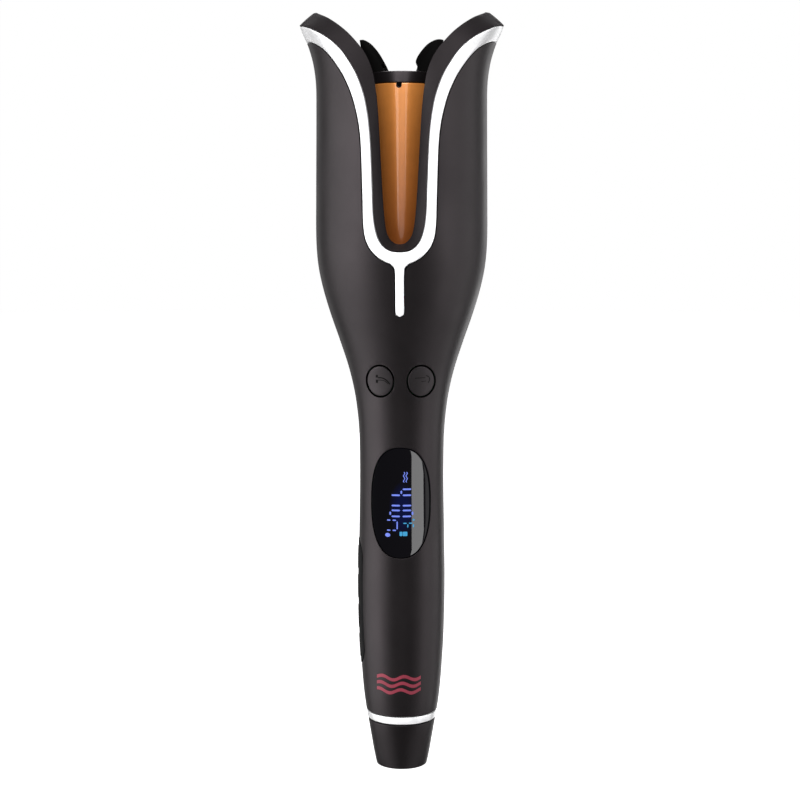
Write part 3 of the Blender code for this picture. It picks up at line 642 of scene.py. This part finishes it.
def make_housings():
    front = make_housing("front_shell", -1)
    rear = make_housing("rear_shell", 1)
    cutters = [well("window_well", opened(window_outline, 0.25), front_face, straight_front, -8.0, 0.25)]
    for side in (-1, 1):
        outline = opened(button_outline(side), 0.75)
        cutters.append(well("button_well", outline, front_face, straight_front, -9.0, 0.12))
    cut_all(front, cutters + [panel_well("panel_well_front")])
    cutters = [panel_well("panel_well_rear")]
    for name, (x, z) in CASE_SCREWS.items():
        cutters.append(prism(name + "_recess", ellipse(x, z, 2.6, 2.6, 32), "Y", 6.0, 45.0))
    cut_all(rear, cutters)
    for obj, node in ((front, "front_housing"), (rear, "rear_housing")):
        shaded(obj.data)
        finished(obj, SHELL, "curler_body", (node,))


def make_screw_posts():
    """A plain post in the front half for each screw, and a stepped one for its head in the rear half."""
    bore, front_radius, rear_radius, head_radius, head_seat = 1.6, 2.7, 3.5, 2.6, 6.0
    for name, (x, z) in CASE_SCREWS.items():
        foot = 0.2
        end = math.sqrt((skin(z) - WALL / 2) ** 2 - (abs(x) + rear_radius) ** 2) - 0.4
        profiles = {
            "front": [(bore, -foot), (front_radius, -foot), (front_radius, -end), (bore, -end)],
            "rear": [(bore, foot), (rear_radius, foot), (rear_radius, end), (head_radius, end),
                     (head_radius, head_seat), (bore, head_seat)],
        }
        for half, profile in profiles.items():
            post = lathe(f"{name}_post_{half}", profile, steps=40)
            lay_along_y(post, x, z)
            finished(post, SHELL, "curler_body")


def lay_along_y(obj, x, z):
    """Turns a body lathed about Z to lie along Y through (x, z)."""
    for vert in obj.data.vertices:
        u, v, w = vert.co
        vert.co = (u + x * MM, w, -v + z * MM)
    obj.data.update()


# ---- liner and trim
def eased(start, corner, end, steps=4):
    """Points of a rounded corner after start, up to end."""
    a, b, c = Vector(start), Vector(corner), Vector(end)
    shares = [s / steps for s in range(1, steps + 1)]
    return [tuple((1 - t)**2 * a + 2 * t * (1 - t) * b + t**2 * c) for t in shares]


def lip_section(wall, corner, rim, back, outward, inner_radius, rim_radius=0.35, crown=0.12):
    """The points across a lip, from the chamber wall to the back of the rim, with both edges rounded."""
    corner, rim, back = Vector(corner), Vector(rim), Vector(back)
    way = (rim - corner).normalized()
    start, end = corner + way * inner_radius, rim - way * rim_radius
    section = eased(wall, corner, start)
    for share in (0.25, 0.5, 0.75, 1.0):
        rise = outward.normalized() * crown * math.sin(math.pi * share)
        section.append(tuple(start.lerp(end, share) + rise))
    return section + eased(end, rim, rim + (back - rim).normalized() * rim_radius, 3)


def edge_normals(path, radius_at):
    """For each (degrees, z) point, the unit step (round the wall, up) that leads into the material."""
    flat = [(math.radians(a) * radius_at(z), z) for a, z in path]
    steps = []
    for k in range(len(flat)):
        before, after = flat[max(k - 1, 0)], flat[min(k + 1, len(flat) - 1)]
        way = (Vector(after) - Vector(before)).normalized()
        steps.append((way.y, -way.x))
    return steps


LOW_ROUNDING = 0.5          # of the lip's inner edge, down the slot
TIP_ROUNDING = 1.4          # of the same edge, at the petals' tips
TIP_PINCH = 0.5             # how far the tip's edge stands in from the chamber wall
CREST = {"angle": 76.0, "inner_z": 329.6, "inner_rise": 0.4, "outer_z": 323.6, "outer_rise": 0.8}


def make_liner(columns=44, wall=3.6):
    lip_in, lip_out = smooth_path(LIP_INNER[:-1], 8), smooth_path(LIP_OUTER[:-1], 8)
    steps = edge_normals(lip_in, chamber)
    points, inner, outer, lips = [], [], [], {-1: [], 1: []}

    def ring(angle, z, r, rise=0.0):
        row = []
        for c in range(columns + 1):
            a = math.radians(angle + (180 - 2 * angle) * c / columns)
            row.append(len(points))
            points.append((r * math.sin(a), -r * math.cos(a), z + rise * math.sin(math.pi * c / columns)))
        return row

    def add(section):
        points.extend(section)
        return list(range(len(points) - len(section), len(points)))

    hole, floor_low, floor_high = 8.2, 227.5, 229.5
    widening_from, widening_over = 48.0, 22.0
    inner += [ring(0.0, floor_high, hole), ring(0.0, floor_high, chamber(floor_high) - 1.2)]
    inner += [ring(0.0, floor_high + 0.3, chamber(floor_high) - 0.3)]
    inner += [ring(0.0, floor_high + 1.0, chamber(floor_high))]
    outer += [ring(0.0, floor_low, hole)] + [ring(0.0, floor_low, skin(floor_low) - wall)] * 3
    for k, ((a_in, z_in), (a_out, z_out)) in enumerate(zip(lip_in, lip_out)):
        towards_tip = max(0.0, min(1.0, (a_in - widening_from) / widening_over))
        radius = LOW_ROUNDING + (TIP_ROUNDING - LOW_ROUNDING) * towards_tip
        round_step, up_step = steps[k]
        a_wall = 0.0 if k == 0 else a_in + math.degrees(round_step * radius / chamber(z_in))
        inner.append(ring(a_wall, z_in + up_step * radius, chamber(z_in + up_step * radius)))
        outer.append(ring(a_out, z_out, skin(z_out) - wall))
        for side, column in ((-1, 0), (1, columns)):
            angle, angle_out = math.radians(a_in), math.radians(a_out)
            reach = chamber(z_in) - TIP_PINCH * towards_tip
            corner = (reach * math.sin(angle), side * reach * math.cos(angle), z_in)
            across = Vector((-math.cos(angle_out), side * math.sin(angle_out), 0.0)) * round_step
            outward = across - Vector((0.0, 0.0, up_step))
            section = lip_section(points[inner[-1][column]], corner, on_skin(a_out, z_out, 0.0, side),
                                  points[outer[-1][column]], outward, radius)
            lips[side].append([inner[-1][column]] + add(section) + [outer[-1][column]])
    inner_top, outer_top = LIP_INNER[-1][1], LIP_OUTER[-1][1]
    inner.append(ring(CREST["angle"], CREST["inner_z"] - TIP_ROUNDING, chamber(inner_top - TIP_ROUNDING),
                      CREST["inner_rise"]))
    outer.append(ring(CREST["angle"], CREST["outer_z"], skin(outer_top) - wall, CREST["outer_rise"]))
    crest = []
    for c in range(columns + 1):
        a = math.radians(CREST["angle"] + (180 - 2 * CREST["angle"]) * c / columns)
        way, up = Vector((math.sin(a), -math.cos(a), 0.0)), Vector((0.0, 0.0, 1.0))
        rise = math.sin(math.pi * c / columns)
        corner = way * (chamber(inner_top) - TIP_PINCH) + up * (CREST["inner_z"] + CREST["inner_rise"] * rise)
        rim = way * skin(outer_top) + up * (CREST["outer_z"] + CREST["outer_rise"] * rise)
        wall_point, back_point = points[inner[-1][c]], points[outer[-1][c]]
        section = lip_section(wall_point, corner, rim, back_point, way + up, TIP_ROUNDING)
        crest.append([inner[-1][c]] + add(section) + [outer[-1][c]])
    lips[-1].append(crest[0])
    lips[1].append(crest[-1])
    faces = []
    for grid in (inner, outer, [inner[0], outer[0]], lips[-1], lips[1], crest):
        faces += quads(grid)
    liner = add_mesh("petal_liner", *mirrored(points, faces), sharp=60.0)
    return finished(liner, LINER, "curler_body", ("chamber_liner",))


def make_trim(name, side, node, depth=2.6):
    """A bright band: its tail, then its sweep from the bottom of the slot to the tips."""
    inner_gap, outer_gap, tail_crown = 0.5, 0.3, -0.1
    pairs = []
    for k, (x, z) in enumerate(smooth_path(TAIL + [(TRIM_OUTER[0][0] * 0.63, TRIM_OUTER[0][1])], 6)[:-1]):
        inner_z = min(z + 0.9 if k == 0 else z, LIP_OUTER[0][1] - GAP)
        pairs.append(((0.0, inner_z), (angle_at(max(x, 0.0), z), z)))
    tail_rows = len(pairs)
    lip = smooth_path(LIP_OUTER, 8)
    rim = smooth_path(TRIM_OUTER, 8)
    pairs.append(((0.0, LIP_OUTER[0][1] - GAP), rim[0]))
    pairs += list(zip(lip[1:], rim[1:]))
    # Across the band, as (share of the width, depth below the skin).
    profile = ((0.0, 0.28), (0.02, 0.14), (0.07, 0.03), (0.25, -0.05), (0.5, -0.1), (0.75, -0.05),
               (0.93, 0.03), (0.98, 0.14), (1.0, 0.28), (1.0, depth), (0.0, depth))
    points, rows = [], []
    for k, ((a_in, z_in), (a_out, z_out)) in enumerate(pairs):
        width = max(0.9, math.dist(on_skin(a_in, z_in), on_skin(a_out, z_out)))
        middle = a_in == 0.0
        low = 0.0 if middle else inner_gap / width
        high = 1 - outer_gap / width
        row = []
        for share, inset in profile:
            if middle and share < 0.5 and inset < depth:
                inset = tail_crown
            s = low + (high - low) * share
            x, y, z = on_skin(a_in + (a_out - a_in) * s, z_in + (z_out - z_in) * s, inset, side)
            row.append(len(points))
            points.append((x, side * max(side * y, SPLIT), z))
        rows.append(row)
    n = len(profile)
    faces = []
    for k, (a, b) in enumerate(zip(rows, rows[1:])):
        faces += [(a[j], a[(j + 1) % n], b[(j + 1) % n], b[j]) for j in range(n if k >= tail_rows else n - 1)]
    faces.append(tuple(rows[-1]))
    trim = add_mesh(name, *mirrored(points, faces), sharp=45.0)
    BRIGHT_PIECES.append(trim)
    return finished(trim, BRIGHT, "curler_body", (node,))


# ---- display
def skin_stroke(name, outline, face, lift, thickness, finish, body, across=0.7, along=2.0):
    """A thin printed or raised shape that follows the skin, cut into strips so that it bends with it."""
    work = bmesh.new()
    work.faces.new([work.verts.new((u, v, 0.0)) for u, v in outline])
    work.normal_update()
    bmesh.ops.triangulate(work, faces=work.faces[:])
    for axis, step in ((0, across), (1, along)):
        values = [p[axis] for p in outline]
        for k in range(math.ceil(min(values) / step), math.floor(max(values) / step) + 1):
            place, way = [0.0, 0.0, 0.0], [0.0, 0.0, 0.0]
            place[axis], way[axis] = k * step, 1.0
            geometry = work.verts[:] + work.edges[:] + work.faces[:]
            bmesh.ops.bisect_plane(work, geom=geometry, dist=1e-5, plane_co=place, plane_no=way)
    made = bmesh.ops.extrude_face_region(work, geom=work.faces[:])["geom"]
    for vert in (item for item in made if isinstance(item, bmesh.types.BMVert)):
        vert.co.z = 1.0
    for vert in work.verts:
        u, v, top = vert.co
        vert.co = Vector(face(u, v, (1.0 - top) * thickness - lift)) * MM
    return finished(placed(name, work, EDGE_ANGLE), finish, body)


def bar(u0, v0, u1, v1, width):
    """A pointed segment between two points, as on a segment display."""
    start, end = Vector((u0, v0)), Vector((u1, v1))
    along = (end - start).normalized()
    across = Vector((-along.y, along.x)) * width / 2
    tip = along * width / 2
    near, far = start + tip, end - tip
    return [tuple(p) for p in (start, near + across, far + across, end, far - across, near - across)]


SEGMENTS = {"0": "abcdef", "1": "bc", "4": "bcfg", "n": "abcef", "F": "aefg"}


def digit(character, u, v, tall, wide, width, gap):
    """Segments of a character that reads down the handle: its top points to +X and its left side up."""
    mid, low, right = u - tall / 2, u - tall, v - wide
    lines = {
        "a": (u, v, u, right), "g": (mid, v, mid, right), "d": (low, v, low, right), "f": (u, v, mid, v),
        "e": (mid, v, low, v), "b": (u, right, mid, right), "c": (mid, right, low, right),
    }
    shapes = []
    for letter in SEGMENTS[character]:
        u0, v0, u1, v1 = lines[letter]
        pull = Vector((u1 - u0, v1 - v0)).normalized() * gap
        shapes.append(bar(u0 + pull.x, v0 + pull.y, u1 - pull.x, v1 - pull.y, width))
    return shapes


def make_display():
    layers = cap_layers(window_outline, set_in(front_face, 0.12), 0.5, rings=12, steps=5)
    layers += curved_back(window_outline(0.0), front_face, 2.0)
    lens = loft("display_window", layers, sharp=60.0)
    LENS_PIECES.append(finished(lens, LENS, "curler_body", ("display_lens",)))

    lit_face = set_in(front_face, 0.10)
    shapes = []
    for character, z in (("4", 126.3), ("1", 121.8), ("0", 117.1)):
        shapes += [(s, BLUE) for s in digit(character, 5.1, z, 9.6, 2.6, 0.72, 0.5)]
    shapes += [(s, BLUE) for s in digit("n", -1.5, 112.8, 4.9, 4.4, 0.55, 0.42)]
    shapes += [(s, CYAN) for s in digit("F", 5.5, 111.5, 4.8, 2.3, 0.5, 0.4)]
    shapes += [(ellipse(5.6, 112.9, 0.42, 0.42, 16), CYAN)]
    for x, half_w, radius in ((1.9, 1.0, 0.35), (0.15, 0.6, 0.3)):
        shapes += [(box_outline(x, 106.9, half_w, 0.95, radius, 4), CYAN)]
    shapes += [(ellipse(-5.6, 106.3, 1.1, 0.85, 20), BLUE)]
    for k in range(2):
        wave = [(1.5 + 1.1 * k + 0.3 * math.sin(t * 1.25), 133.8 - 0.45 * t) for t in range(11)]
        shapes.append(([(u - 0.19, v) for u, v in wave] + [(u + 0.19, v) for u, v in reversed(wave)], BLUE))
    for k, (outline, finish) in enumerate(shapes):
        skin_stroke(f"display_segment_{k:02d}", outline, lit_face, 0.02, 0.05, finish, "curler_body")


# ---- buttons
# The arrow's strokes on each button, as (points, width) with +X towards the middle of the handle.
ARROWS = {
    -1: [
        ([(-1.36, 2.7), (-1.36, 1.55)], 0.9), ([(-1.36, 0.58), (-1.36, -0.78)], 0.9),
        ([(-0.85, 1.5), (0.3, 1.55), (1.2, 1.38), (2.1, 0.98), (2.9, 0.4), (3.6, -0.35), (4.2, -1.2)], 0.5),
        ([(-0.85, 0.42), (0.3, 0.5), (1.3, 0.42), (2.1, 0.12), (2.9, -0.45), (3.5, -1.0)], 0.28),
    ],
    1: [
        ([(-2.1, 2.45), (-2.8, 2.2), (-3.4, 1.7), (-3.75, 0.9), (-3.5, 0.0), (-3.0, -0.8)], 0.3),
        ([(2.6, 1.4), (1.2, 1.48), (-0.4, 1.5), (-1.8, 1.5)], 0.24), ([(-0.1, -0.1), (-2.1, 0.05)], 0.2),
    ],
}


def ribbon(path, width):
    """The outline of a band of one width along a path."""
    left, right = [], []
    for k, point in enumerate(path):
        way = Vector(path[min(k + 1, len(path) - 1)]) - Vector(path[max(k - 1, 0)])
        across = Vector((-way.y, way.x)).normalized() * width / 2
        left.append(tuple(Vector(point) + across))
        right.append(tuple(Vector(point) - across))
    return left + right[::-1]


def make_direction_button(name, side, body):
    layers = cap_layers(button_outline(side), front_face, 0.35, rings=5)
    back = BUTTON["back_y"]
    layers.append([(x, back, z) for x, z in button_outline(side)(0.0)])
    stem = ellipse(side * BUTTON["x"], BUTTON["z"], 1.8, 1.8, 72)
    layers.append([(x, back, z) for x, z in stem])
    layers.append([(x, back + 1.8, z) for x, z in stem])
    finished(loft(name + "_cap", layers), BUTTON_BLACK, body, (name,))
    for k, (path, width) in enumerate(ARROWS[side]):
        stroke = ribbon([(side * (BUTTON["x"] - u), BUTTON["z"] + v) for u, v in path], width)
        skin_stroke(f"{name}_arrow_{k}", stroke, front_face, 0.03, 0.2, ICON, body)


def ring_outline(u, v, radius, width, start, end, steps=24):
    turns = [math.radians(start + (end - start) * s / steps) for s in range(steps + 1)]
    out, back = radius + width / 2, radius - width / 2
    outer = [(u + out * math.cos(a), v + out * math.sin(a)) for a in turns]
    return outer + [(u + back * math.cos(a), v + back * math.sin(a)) for a in reversed(turns)]


def make_side_controls():
    key_face = set_in(left_face, -0.45)
    half_y, half_z, corner, back_x = 4.7, 5.3, 2.5, -14.8
    layers = cap_layers(panel_outline, set_in(left_face, -0.25), 0.3, rings=6)
    layers += curved_back(panel_outline(0.0), left_face, 2.2)
    panel = loft("side_panel_face", layers)
    holes = []
    for name, z in SIDE_BUTTONS.items():
        outline = box_outline(0.0, z, half_y + GAP, half_z + GAP, corner + GAP)
        holes.append(prism(name + "_hole", outline, "X", -30.0, -13.0))
    cut_all(panel, holes)
    shaded(panel.data)
    finished(panel, PANEL, "curler_body", ("side_panel",))
    icons = {
        "power_button": [ring_outline(0, 0, 1.6, 0.42, 125, 415), box_outline(0, 1.5, 0.21, 1.0, 0.2, 3)],
        "heat_up_button": [box_outline(0, 0, 0.22, 1.8, 0.2, 3), box_outline(0, 0, 1.8, 0.22, 0.2, 3)],
        "heat_down_button": [box_outline(0, 0, 1.8, 0.22, 0.2, 3)],
        "timer_button": [ring_outline(0, 0, 1.75, 0.4, 0, 360, 32), bar(0, -0.1, 0, 1.25, 0.36),
                         bar(-0.1, 0, 0.95, 0, 0.36)],
    }
    for name, z in SIDE_BUTTONS.items():
        body = name + "_body"

        def outline_at(grow):
            return box_outline(0.0, z, half_y + grow, half_z + grow, corner + grow)

        layers = cap_layers(outline_at, key_face, 0.4)
        layers.append([(back_x, y, w) for y, w in outline_at(0.0)])
        finished(loft(name + "_cap", layers), SIDE_BUTTON_BLACK, body, (name,))
        for k, outline in enumerate(icons[name]):
            moved = [(u, v + z) for u, v in outline]
            skin_stroke(f"{name}_icon_{k}", moved, key_face, 0.02, 0.15, ICON_PALE, body)


# ---- rotor
# The two fins' outlines as (distance from the axis, z): up the inner edge, then down the outer one.
FIN_INNER = {
    -1: [(5.3, 302.8), (5.4, 304.6), (5.9, 306.1), (6.8, 307.9), (7.9, 309.9), (9.2, 312.1), (10.9, 314.4),
         (13.1, 316.7), (15.1, 318.0), (17.0, 318.7)],
    1: [(5.5, 302.8), (5.9, 304.6), (6.5, 306.1), (6.7, 307.3), (6.1, 308.7), (6.2, 310.0), (7.2, 312.0),
        (8.9, 314.3), (11.1, 316.6), (13.4, 318.0), (15.2, 318.6), (16.9, 318.7)],
}
FIN_OUTER = [(18.0, 318.4), (17.8, 316.9), (17.0, 313.4), (15.8, 309.4), (14.3, 306.0), (12.5, 302.8)]
KEY_TURN = -3.9             # of the keys and their slots about the axis, in degrees


def turned(obj):
    """Turns a mesh about the long axis to where the keys are."""
    a = math.radians(KEY_TURN)
    for vert in obj.data.vertices:
        x, y, z = vert.co
        vert.co = (x * math.cos(a) - y * math.sin(a), x * math.sin(a) + y * math.cos(a), z)
    obj.data.update()
    return obj


def half_round(radius, z):
    """A downward half circle of (across, z) points."""
    return [(radius * math.cos(a), z - radius * math.sin(a)) for a in (math.pi * k / 12 for k in range(13))]


def make_rotor():
    low, high = (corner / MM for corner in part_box("barrel"))
    radius, bore = high.x, 11.2
    slot_half, key_half = 1.2, 0.85
    profile = [(bore, low.z), (radius, low.z), (radius, high.z), (bore, high.z)]
    barrel = lathe("barrel_tube", rounded(profile, (0.0, 0.3, 0.6, 0.2)))
    cuts = []
    for side in (-1, 1):
        ends = sorted((side * 9.0, side * 15.0))
        outline = half_round(slot_half, high.z - 1.0) + [(-slot_half, high.z + 2), (slot_half, high.z + 2)]
        cuts.append(turned(prism(f"key_slot_{SIDE_NAMES[side]}", outline, "Y", *ends)))
    cut_all(barrel, cuts)
    shaded(barrel.data)
    ROTOR_PIECES.append(finished(barrel, COPPER, "rotor", ("barrel",)))
    top, foot = 304.5, high.z + GAP
    profile = [(5.0, 291.0), (10.9, 291.0), (10.9, foot), (radius, foot), (radius, top), (0.0, top),
               (0.0, top - 2), (5.0, top - 2)]
    cap = lathe("cap_disc", rounded(profile, (0, 0.3, 0, 0.25, 0.4, 0, 0, 0)))
    ROTOR_PIECES.append(finished(cap, CAP_DISC, "rotor", ("barrel_cap",)))
    for side in (-1, 1):
        ends = sorted((side * 10.7, side * 12.62))
        outline = half_round(key_half, 298.7) + [(-key_half, foot + 0.6), (key_half, foot + 0.6)]
        key = turned(prism(f"cap_key_{SIDE_NAMES[side]}", outline, "Y", *ends))
        finished(key, CAP, "rotor")
        outline = [(side * u, v) for u, v in smooth_path(FIN_INNER[side], 4)[:-1] + smooth_path(FIN_OUTER, 4)]
        fin = prism(f"cap_fin_{SIDE_NAMES[side]}", outline, "Y", -2.75, 2.75)
        if side < 0:
            slot = ribbon([(-8.3, 308.0), (-7.9, 307.2), (-7.6, 306.4)], 0.5)
            cut_all(fin, [prism("fin_slot", slot, "Y", -4.0, 4.0)])
        bevel(fin, 0.55, 4, 40.0)
        finished(fin, CAP, "rotor")


# ---- handle end
def make_handle_end():
    low, high = (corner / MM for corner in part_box("trim_ring"))
    profile = [(12.9, low.z + 0.25), (15.05, low.z + 0.25), (15.55, high.z - 0.3), (12.9, high.z - 0.3)]
    ring = lathe("bright_ring", rounded(profile, (0, 0.35, 0.35, 0)))
    BRIGHT_PIECES.append(finished(ring, BRIGHT, "curler_body", ("trim_ring",)))
    cone = [(6.6, 0.0), (11.15, 0.0), (11.85, 3.0), (12.7, 7.5), (13.85, 14.4), (14.95, 20.8), (12.6, 20.8),
            (12.6, 31.5), (11.0, 31.5), (11.0, 21.0), (9.9, 4.5), (6.6, 4.5)]
    boot = lathe("end_cone", rounded(cone, (0.3, 0.4, 0, 0, 0, 0.5, 0, 0.3, 0, 0, 0, 0)), sharp=25.0)
    finished(boot, BOOT, "curler_body", ("end_cap",))
    gland = [(3.7, 0.4), (6.2, 0.4), (6.2, 4.8), (8.6, 4.8), (8.6, 6.8), (5.0, 6.8), (5.0, 20.0), (3.7, 20.0)]
    collar = lathe("gland_collar", rounded(gland, (0.4, 0.5, 0, 0, 0, 0, 0, 0)), steps=96)
    finished(collar, BOOT, "cord_gland", ("swivel_gland",))


def make_screws():
    head = [(0, -7.5), (0.6, -7.5), (1.15, -6.0), (1.15, 6.3), (2.2, 6.3), (2.2, 7.4), (1.7, 8.0), (0, 8.0)]
    for name, (x, z) in CASE_SCREWS.items():
        screw = lathe(name + "_fine", head, steps=40)
        halves = ((1.4, 0.3), (0.3, 1.4))
        cut_all(screw, [prism("cross", box_outline(0, 0, *half, 0.1, 2), "Z", 7.1, 9.0) for half in halves])
        shaded(screw.data)
        lay_along_y(screw, x, z)
        finished(screw, STEEL, "curler_body", (name,))


def make_mark():
    """Three wavy strands in red, low on the handle."""
    left, length, top, pitch, swing, half_width, steps = -10.5, 19.2, 42.9, 3.0, 0.8, 0.75, 60
    for k in range(3):
        z = top - pitch * k
        turns = [2 * math.pi * s / (steps / 2) + 0.5 * k for s in range(steps + 1)]
        wave = [(left + length * s / steps, z + swing * math.sin(a)) for s, a in enumerate(turns)]
        outline = [(u, v + half_width) for u, v in wave] + [(u, v - half_width) for u, v in reversed(wave)]
        skin_stroke(f"printed_strand_{k}", outline, front_face, 0.03, 0.12, MARK_RED, "curler_body")


# ---- carried-over nodes
def finish_nodes():
    finishes = {
        BOARD: ("control_board", "power_board", "button_board", "side_board"),
        DARK: ("display_module", "filter_capacitor", "switch_curl_left", "switch_curl_right",
               "switch_power", "switch_heat_up", "switch_heat_down", "switch_timer"),
        STEEL: ("spindle_post", "pinion_shaft", "motor"),
        ALUMINIUM: ("heater_core", "drive_plate", "gearbox"),
        BRASS: ("pinion", "slip_ring_live", "slip_ring_neutral", "contact_spring_live",
                "contact_spring_neutral"),
        POLYMER: ("barrel_hub", "barrel_gear", "lower_bush", "upper_bush", "contact_carrier"),
        CERAMIC: ("ptc_heater", "temperature_sensor"),
        RED_LEAD: ("heater_lead_live", "motor_lead_red"),
        BLACK_LEAD: ("motor_lead_black",),
        WHITE_LEAD: ("heater_lead_neutral",),
    }
    for finish, names in finishes.items():
        for name in names:
            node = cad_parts[name]
            node.data.materials.clear()
            node.data.materials.append(finish)


# ---- studio
def studio_piece(obj, material_name, colour, emission):
    """Makes a mesh seen by the camera that neither lights nor shades the object."""
    made, tree, shader = new_material(material_name, colour, 0.9, specular=0.1)
    tint(tree, noise(tree, 3.0, 2.0), shader.inputs["Base Color"], [c * 0.99 for c in colour], colour)
    set_inputs(shader, {"Emission Color": (1.0, 1.0, 1.0, 1.0), "Emission Strength": emission})
    obj.data.materials.append(made)
    obj.visible_diffuse = obj.visible_glossy = obj.visible_shadow = obj.visible_transmission = False


def direction(azimuth, elevation):
    """The way to a place seen from the object. Azimuth 0 is the view's front, and 90 the object's right."""
    a, e = math.radians(azimuth + VIEW_AZIMUTH), math.radians(elevation)
    return Vector((math.sin(a) * math.cos(e), -math.cos(a) * math.cos(e), math.sin(e)))


VIEW_AZIMUTH = 1.5
VIEW_ELEVATION = 5.8
STUDIO_MIDDLE_M = Vector((0.0, 0.0, 0.17))
HEAD_MIDDLE_M = Vector((0.0, 0.0, 0.27))
STRIP = (0.42, 1.6)
PANEL_LIGHT = (0.8, 0.6)
# The upright strips that light the body, as azimuth in degrees to power in watts.
BODY_STRIPS = {
    -150: 0.9, -105: 2.6, -85: 4.1, -65: 5.4, -45: 1.7, 0: 0.5, 45: 0.5, 65: 2.9, 85: 1.8, 105: 2.3, 150: 2.9,
    180: 2.6,
}
# Name, azimuth and elevation in degrees, size in metres, power in watts, and the group of pieces it lights.
LIGHTS = [(f"strip_{azimuth}", azimuth, 0.0, STRIP, power, "body") for azimuth, power in BODY_STRIPS.items()]
LIGHTS += [
    ("high_front", 0.0, 50.0, PANEL_LIGHT, 5.0, "body"),
    ("high_back", 180.0, 50.0, PANEL_LIGHT, 4.0, "body"),
    ("head_left", -50.0, 0.0, (0.21, 0.25), 0.24, "body"),
    ("head_right", 50.0, 0.0, (0.21, 0.25), 0.18, "body"),
    ("low_left", -60.0, -58.0, PANEL_LIGHT, 1.5, "body"),
    ("low_right", 60.0, -58.0, PANEL_LIGHT, 1.3, "body"),
    ("display_strip", 44.5, -6.0, (0.74, 0.9), 6.0, "lens"),
    ("display_edge_strip", 80.0, -6.0, (0.5, 0.9), 0.6, "lens"),
    ("bright_high", 0.0, 50.0, PANEL_LIGHT, 11.3, "bright"),
    ("bright_left", -22.0, 0.0, STRIP, 4.0, "bright"),
    ("bright_front", 0.0, 0.0, STRIP, 1.3, "bright"),
    ("bright_right", 22.0, 0.0, STRIP, 2.9, "bright"),
    ("bright_back", 180.0, 58.0, PANEL_LIGHT, 10.0, "bright"),
    ("trim_left", -60.0, 0.0, STRIP, 1.9, "trim"),
    ("trim_right", 60.0, 0.0, STRIP, 1.9, "trim"),
    ("trim_low", 0.0, -30.0, (1.2, 0.6), 1.2, "trim"),
]


def share_light(light, group):
    """Keeps a light to its group. Body lights skip the glass and the rotor, and the rest light only theirs."""
    pieces = {"body": LENS_PIECES + ROTOR_PIECES, "lens": LENS_PIECES, "bright": BRIGHT_PIECES + ROTOR_PIECES,
              "trim": BRIGHT_PIECES}[group]
    receivers = bpy.data.collections.new(light.name + "_receivers")
    for obj in pieces:
        receivers.objects.link(obj)
    if group == "body":
        for row in receivers.collection_objects:
            row.light_linking.link_state = "EXCLUDE"
    light.light_linking.receiver_collection = receivers


def area_light(name, place, target, size, power):
    data = bpy.data.lights.new(name, "AREA")
    data.shape = "RECTANGLE"
    data.size, data.size_y = size
    data.energy = power
    obj = bpy.data.objects.new(name, data)
    obj.location = place
    obj.rotation_euler = (Vector(target) - Vector(place)).to_track_quat("-Z", "Y").to_euler()
    obj.visible_camera = False
    bpy.context.scene.collection.objects.link(obj)
    return obj


def make_studio():
    scene = bpy.context.scene
    scene.view_settings.view_transform = "Standard"
    world = bpy.data.worlds.new("studio")
    world.use_nodes = True
    background = world.node_tree.nodes["Background"]
    background.inputs["Color"].default_value = (1.0, 1.0, 1.0, 1.0)
    background.inputs["Strength"].default_value = 0.055
    scene.world = world
    floor_radius, dome_radius, dome_drop, rings, columns = 4000.0, 4000.0, 5.0, 8, 48
    turns = [2 * math.pi * k / 64 for k in range(64)]
    floor_points = [(floor_radius * math.cos(a), floor_radius * math.sin(a), 0.0) for a in turns]
    floor = add_mesh("studio_floor", floor_points, [tuple(range(64))])
    studio_piece(floor, "floor_white", (0.9, 0.9, 0.9), 0.95)
    points, rows = [], []
    for k in range(rings + 1):
        e = math.pi / 2 * k / rings
        radius, z = dome_radius * math.cos(e), dome_radius * math.sin(e) - dome_drop
        rows.append(list(range(len(points), len(points) + columns)))
        points += [(radius * math.cos(a), radius * math.sin(a), z)
                   for a in (2 * math.pi * s / columns for s in range(columns))]
    dome = add_mesh("studio_backdrop", points, quads(rows, closed=True), weld=1.0)
    studio_piece(dome, "backdrop_white", (0.0, 0.0, 0.0), 1.0)
    for name, azimuth, elevation, size, power, group in LIGHTS:
        middle, distance = (HEAD_MIDDLE_M, 0.6) if name.startswith("head_") else (STUDIO_MIDDLE_M, 1.2)
        place = middle + direction(azimuth, elevation) * distance
        share_light(area_light(name, place, middle, size, power), group)


def make_camera():
    data = bpy.data.cameras.new("camera")
    data.sensor_width = 36.0
    data.lens = 75.86
    data.shift_x, data.shift_y = -0.0021875, -0.0055
    data.clip_start, data.clip_end = 0.01, 20.0
    camera = bpy.data.objects.new("camera", data)
    distance_m = 0.74
    middle = Vector((0.0, 0.0, (cad_low.z + cad_high.z) / 2))
    back = direction(0.0, VIEW_ELEVATION)
    camera.location = middle + back * distance_m
    camera.rotation_euler = (-back).to_track_quat("-Z", "Y").to_euler()
    bpy.context.scene.collection.objects.link(camera)
    bpy.context.scene.camera = camera


make_housings()
make_screw_posts()
make_liner()
make_trim("front_trim_band", -1, "front_trim")
make_trim("rear_trim_band", 1, "rear_trim")
make_display()
make_direction_button("curl_left_button", -1, "curl_left_button_body")
make_direction_button("curl_right_button", 1, "curl_right_button_body")
make_side_controls()
make_rotor()
make_handle_end()
make_screws()
make_mark()
finish_nodes()
make_studio()
make_camera()
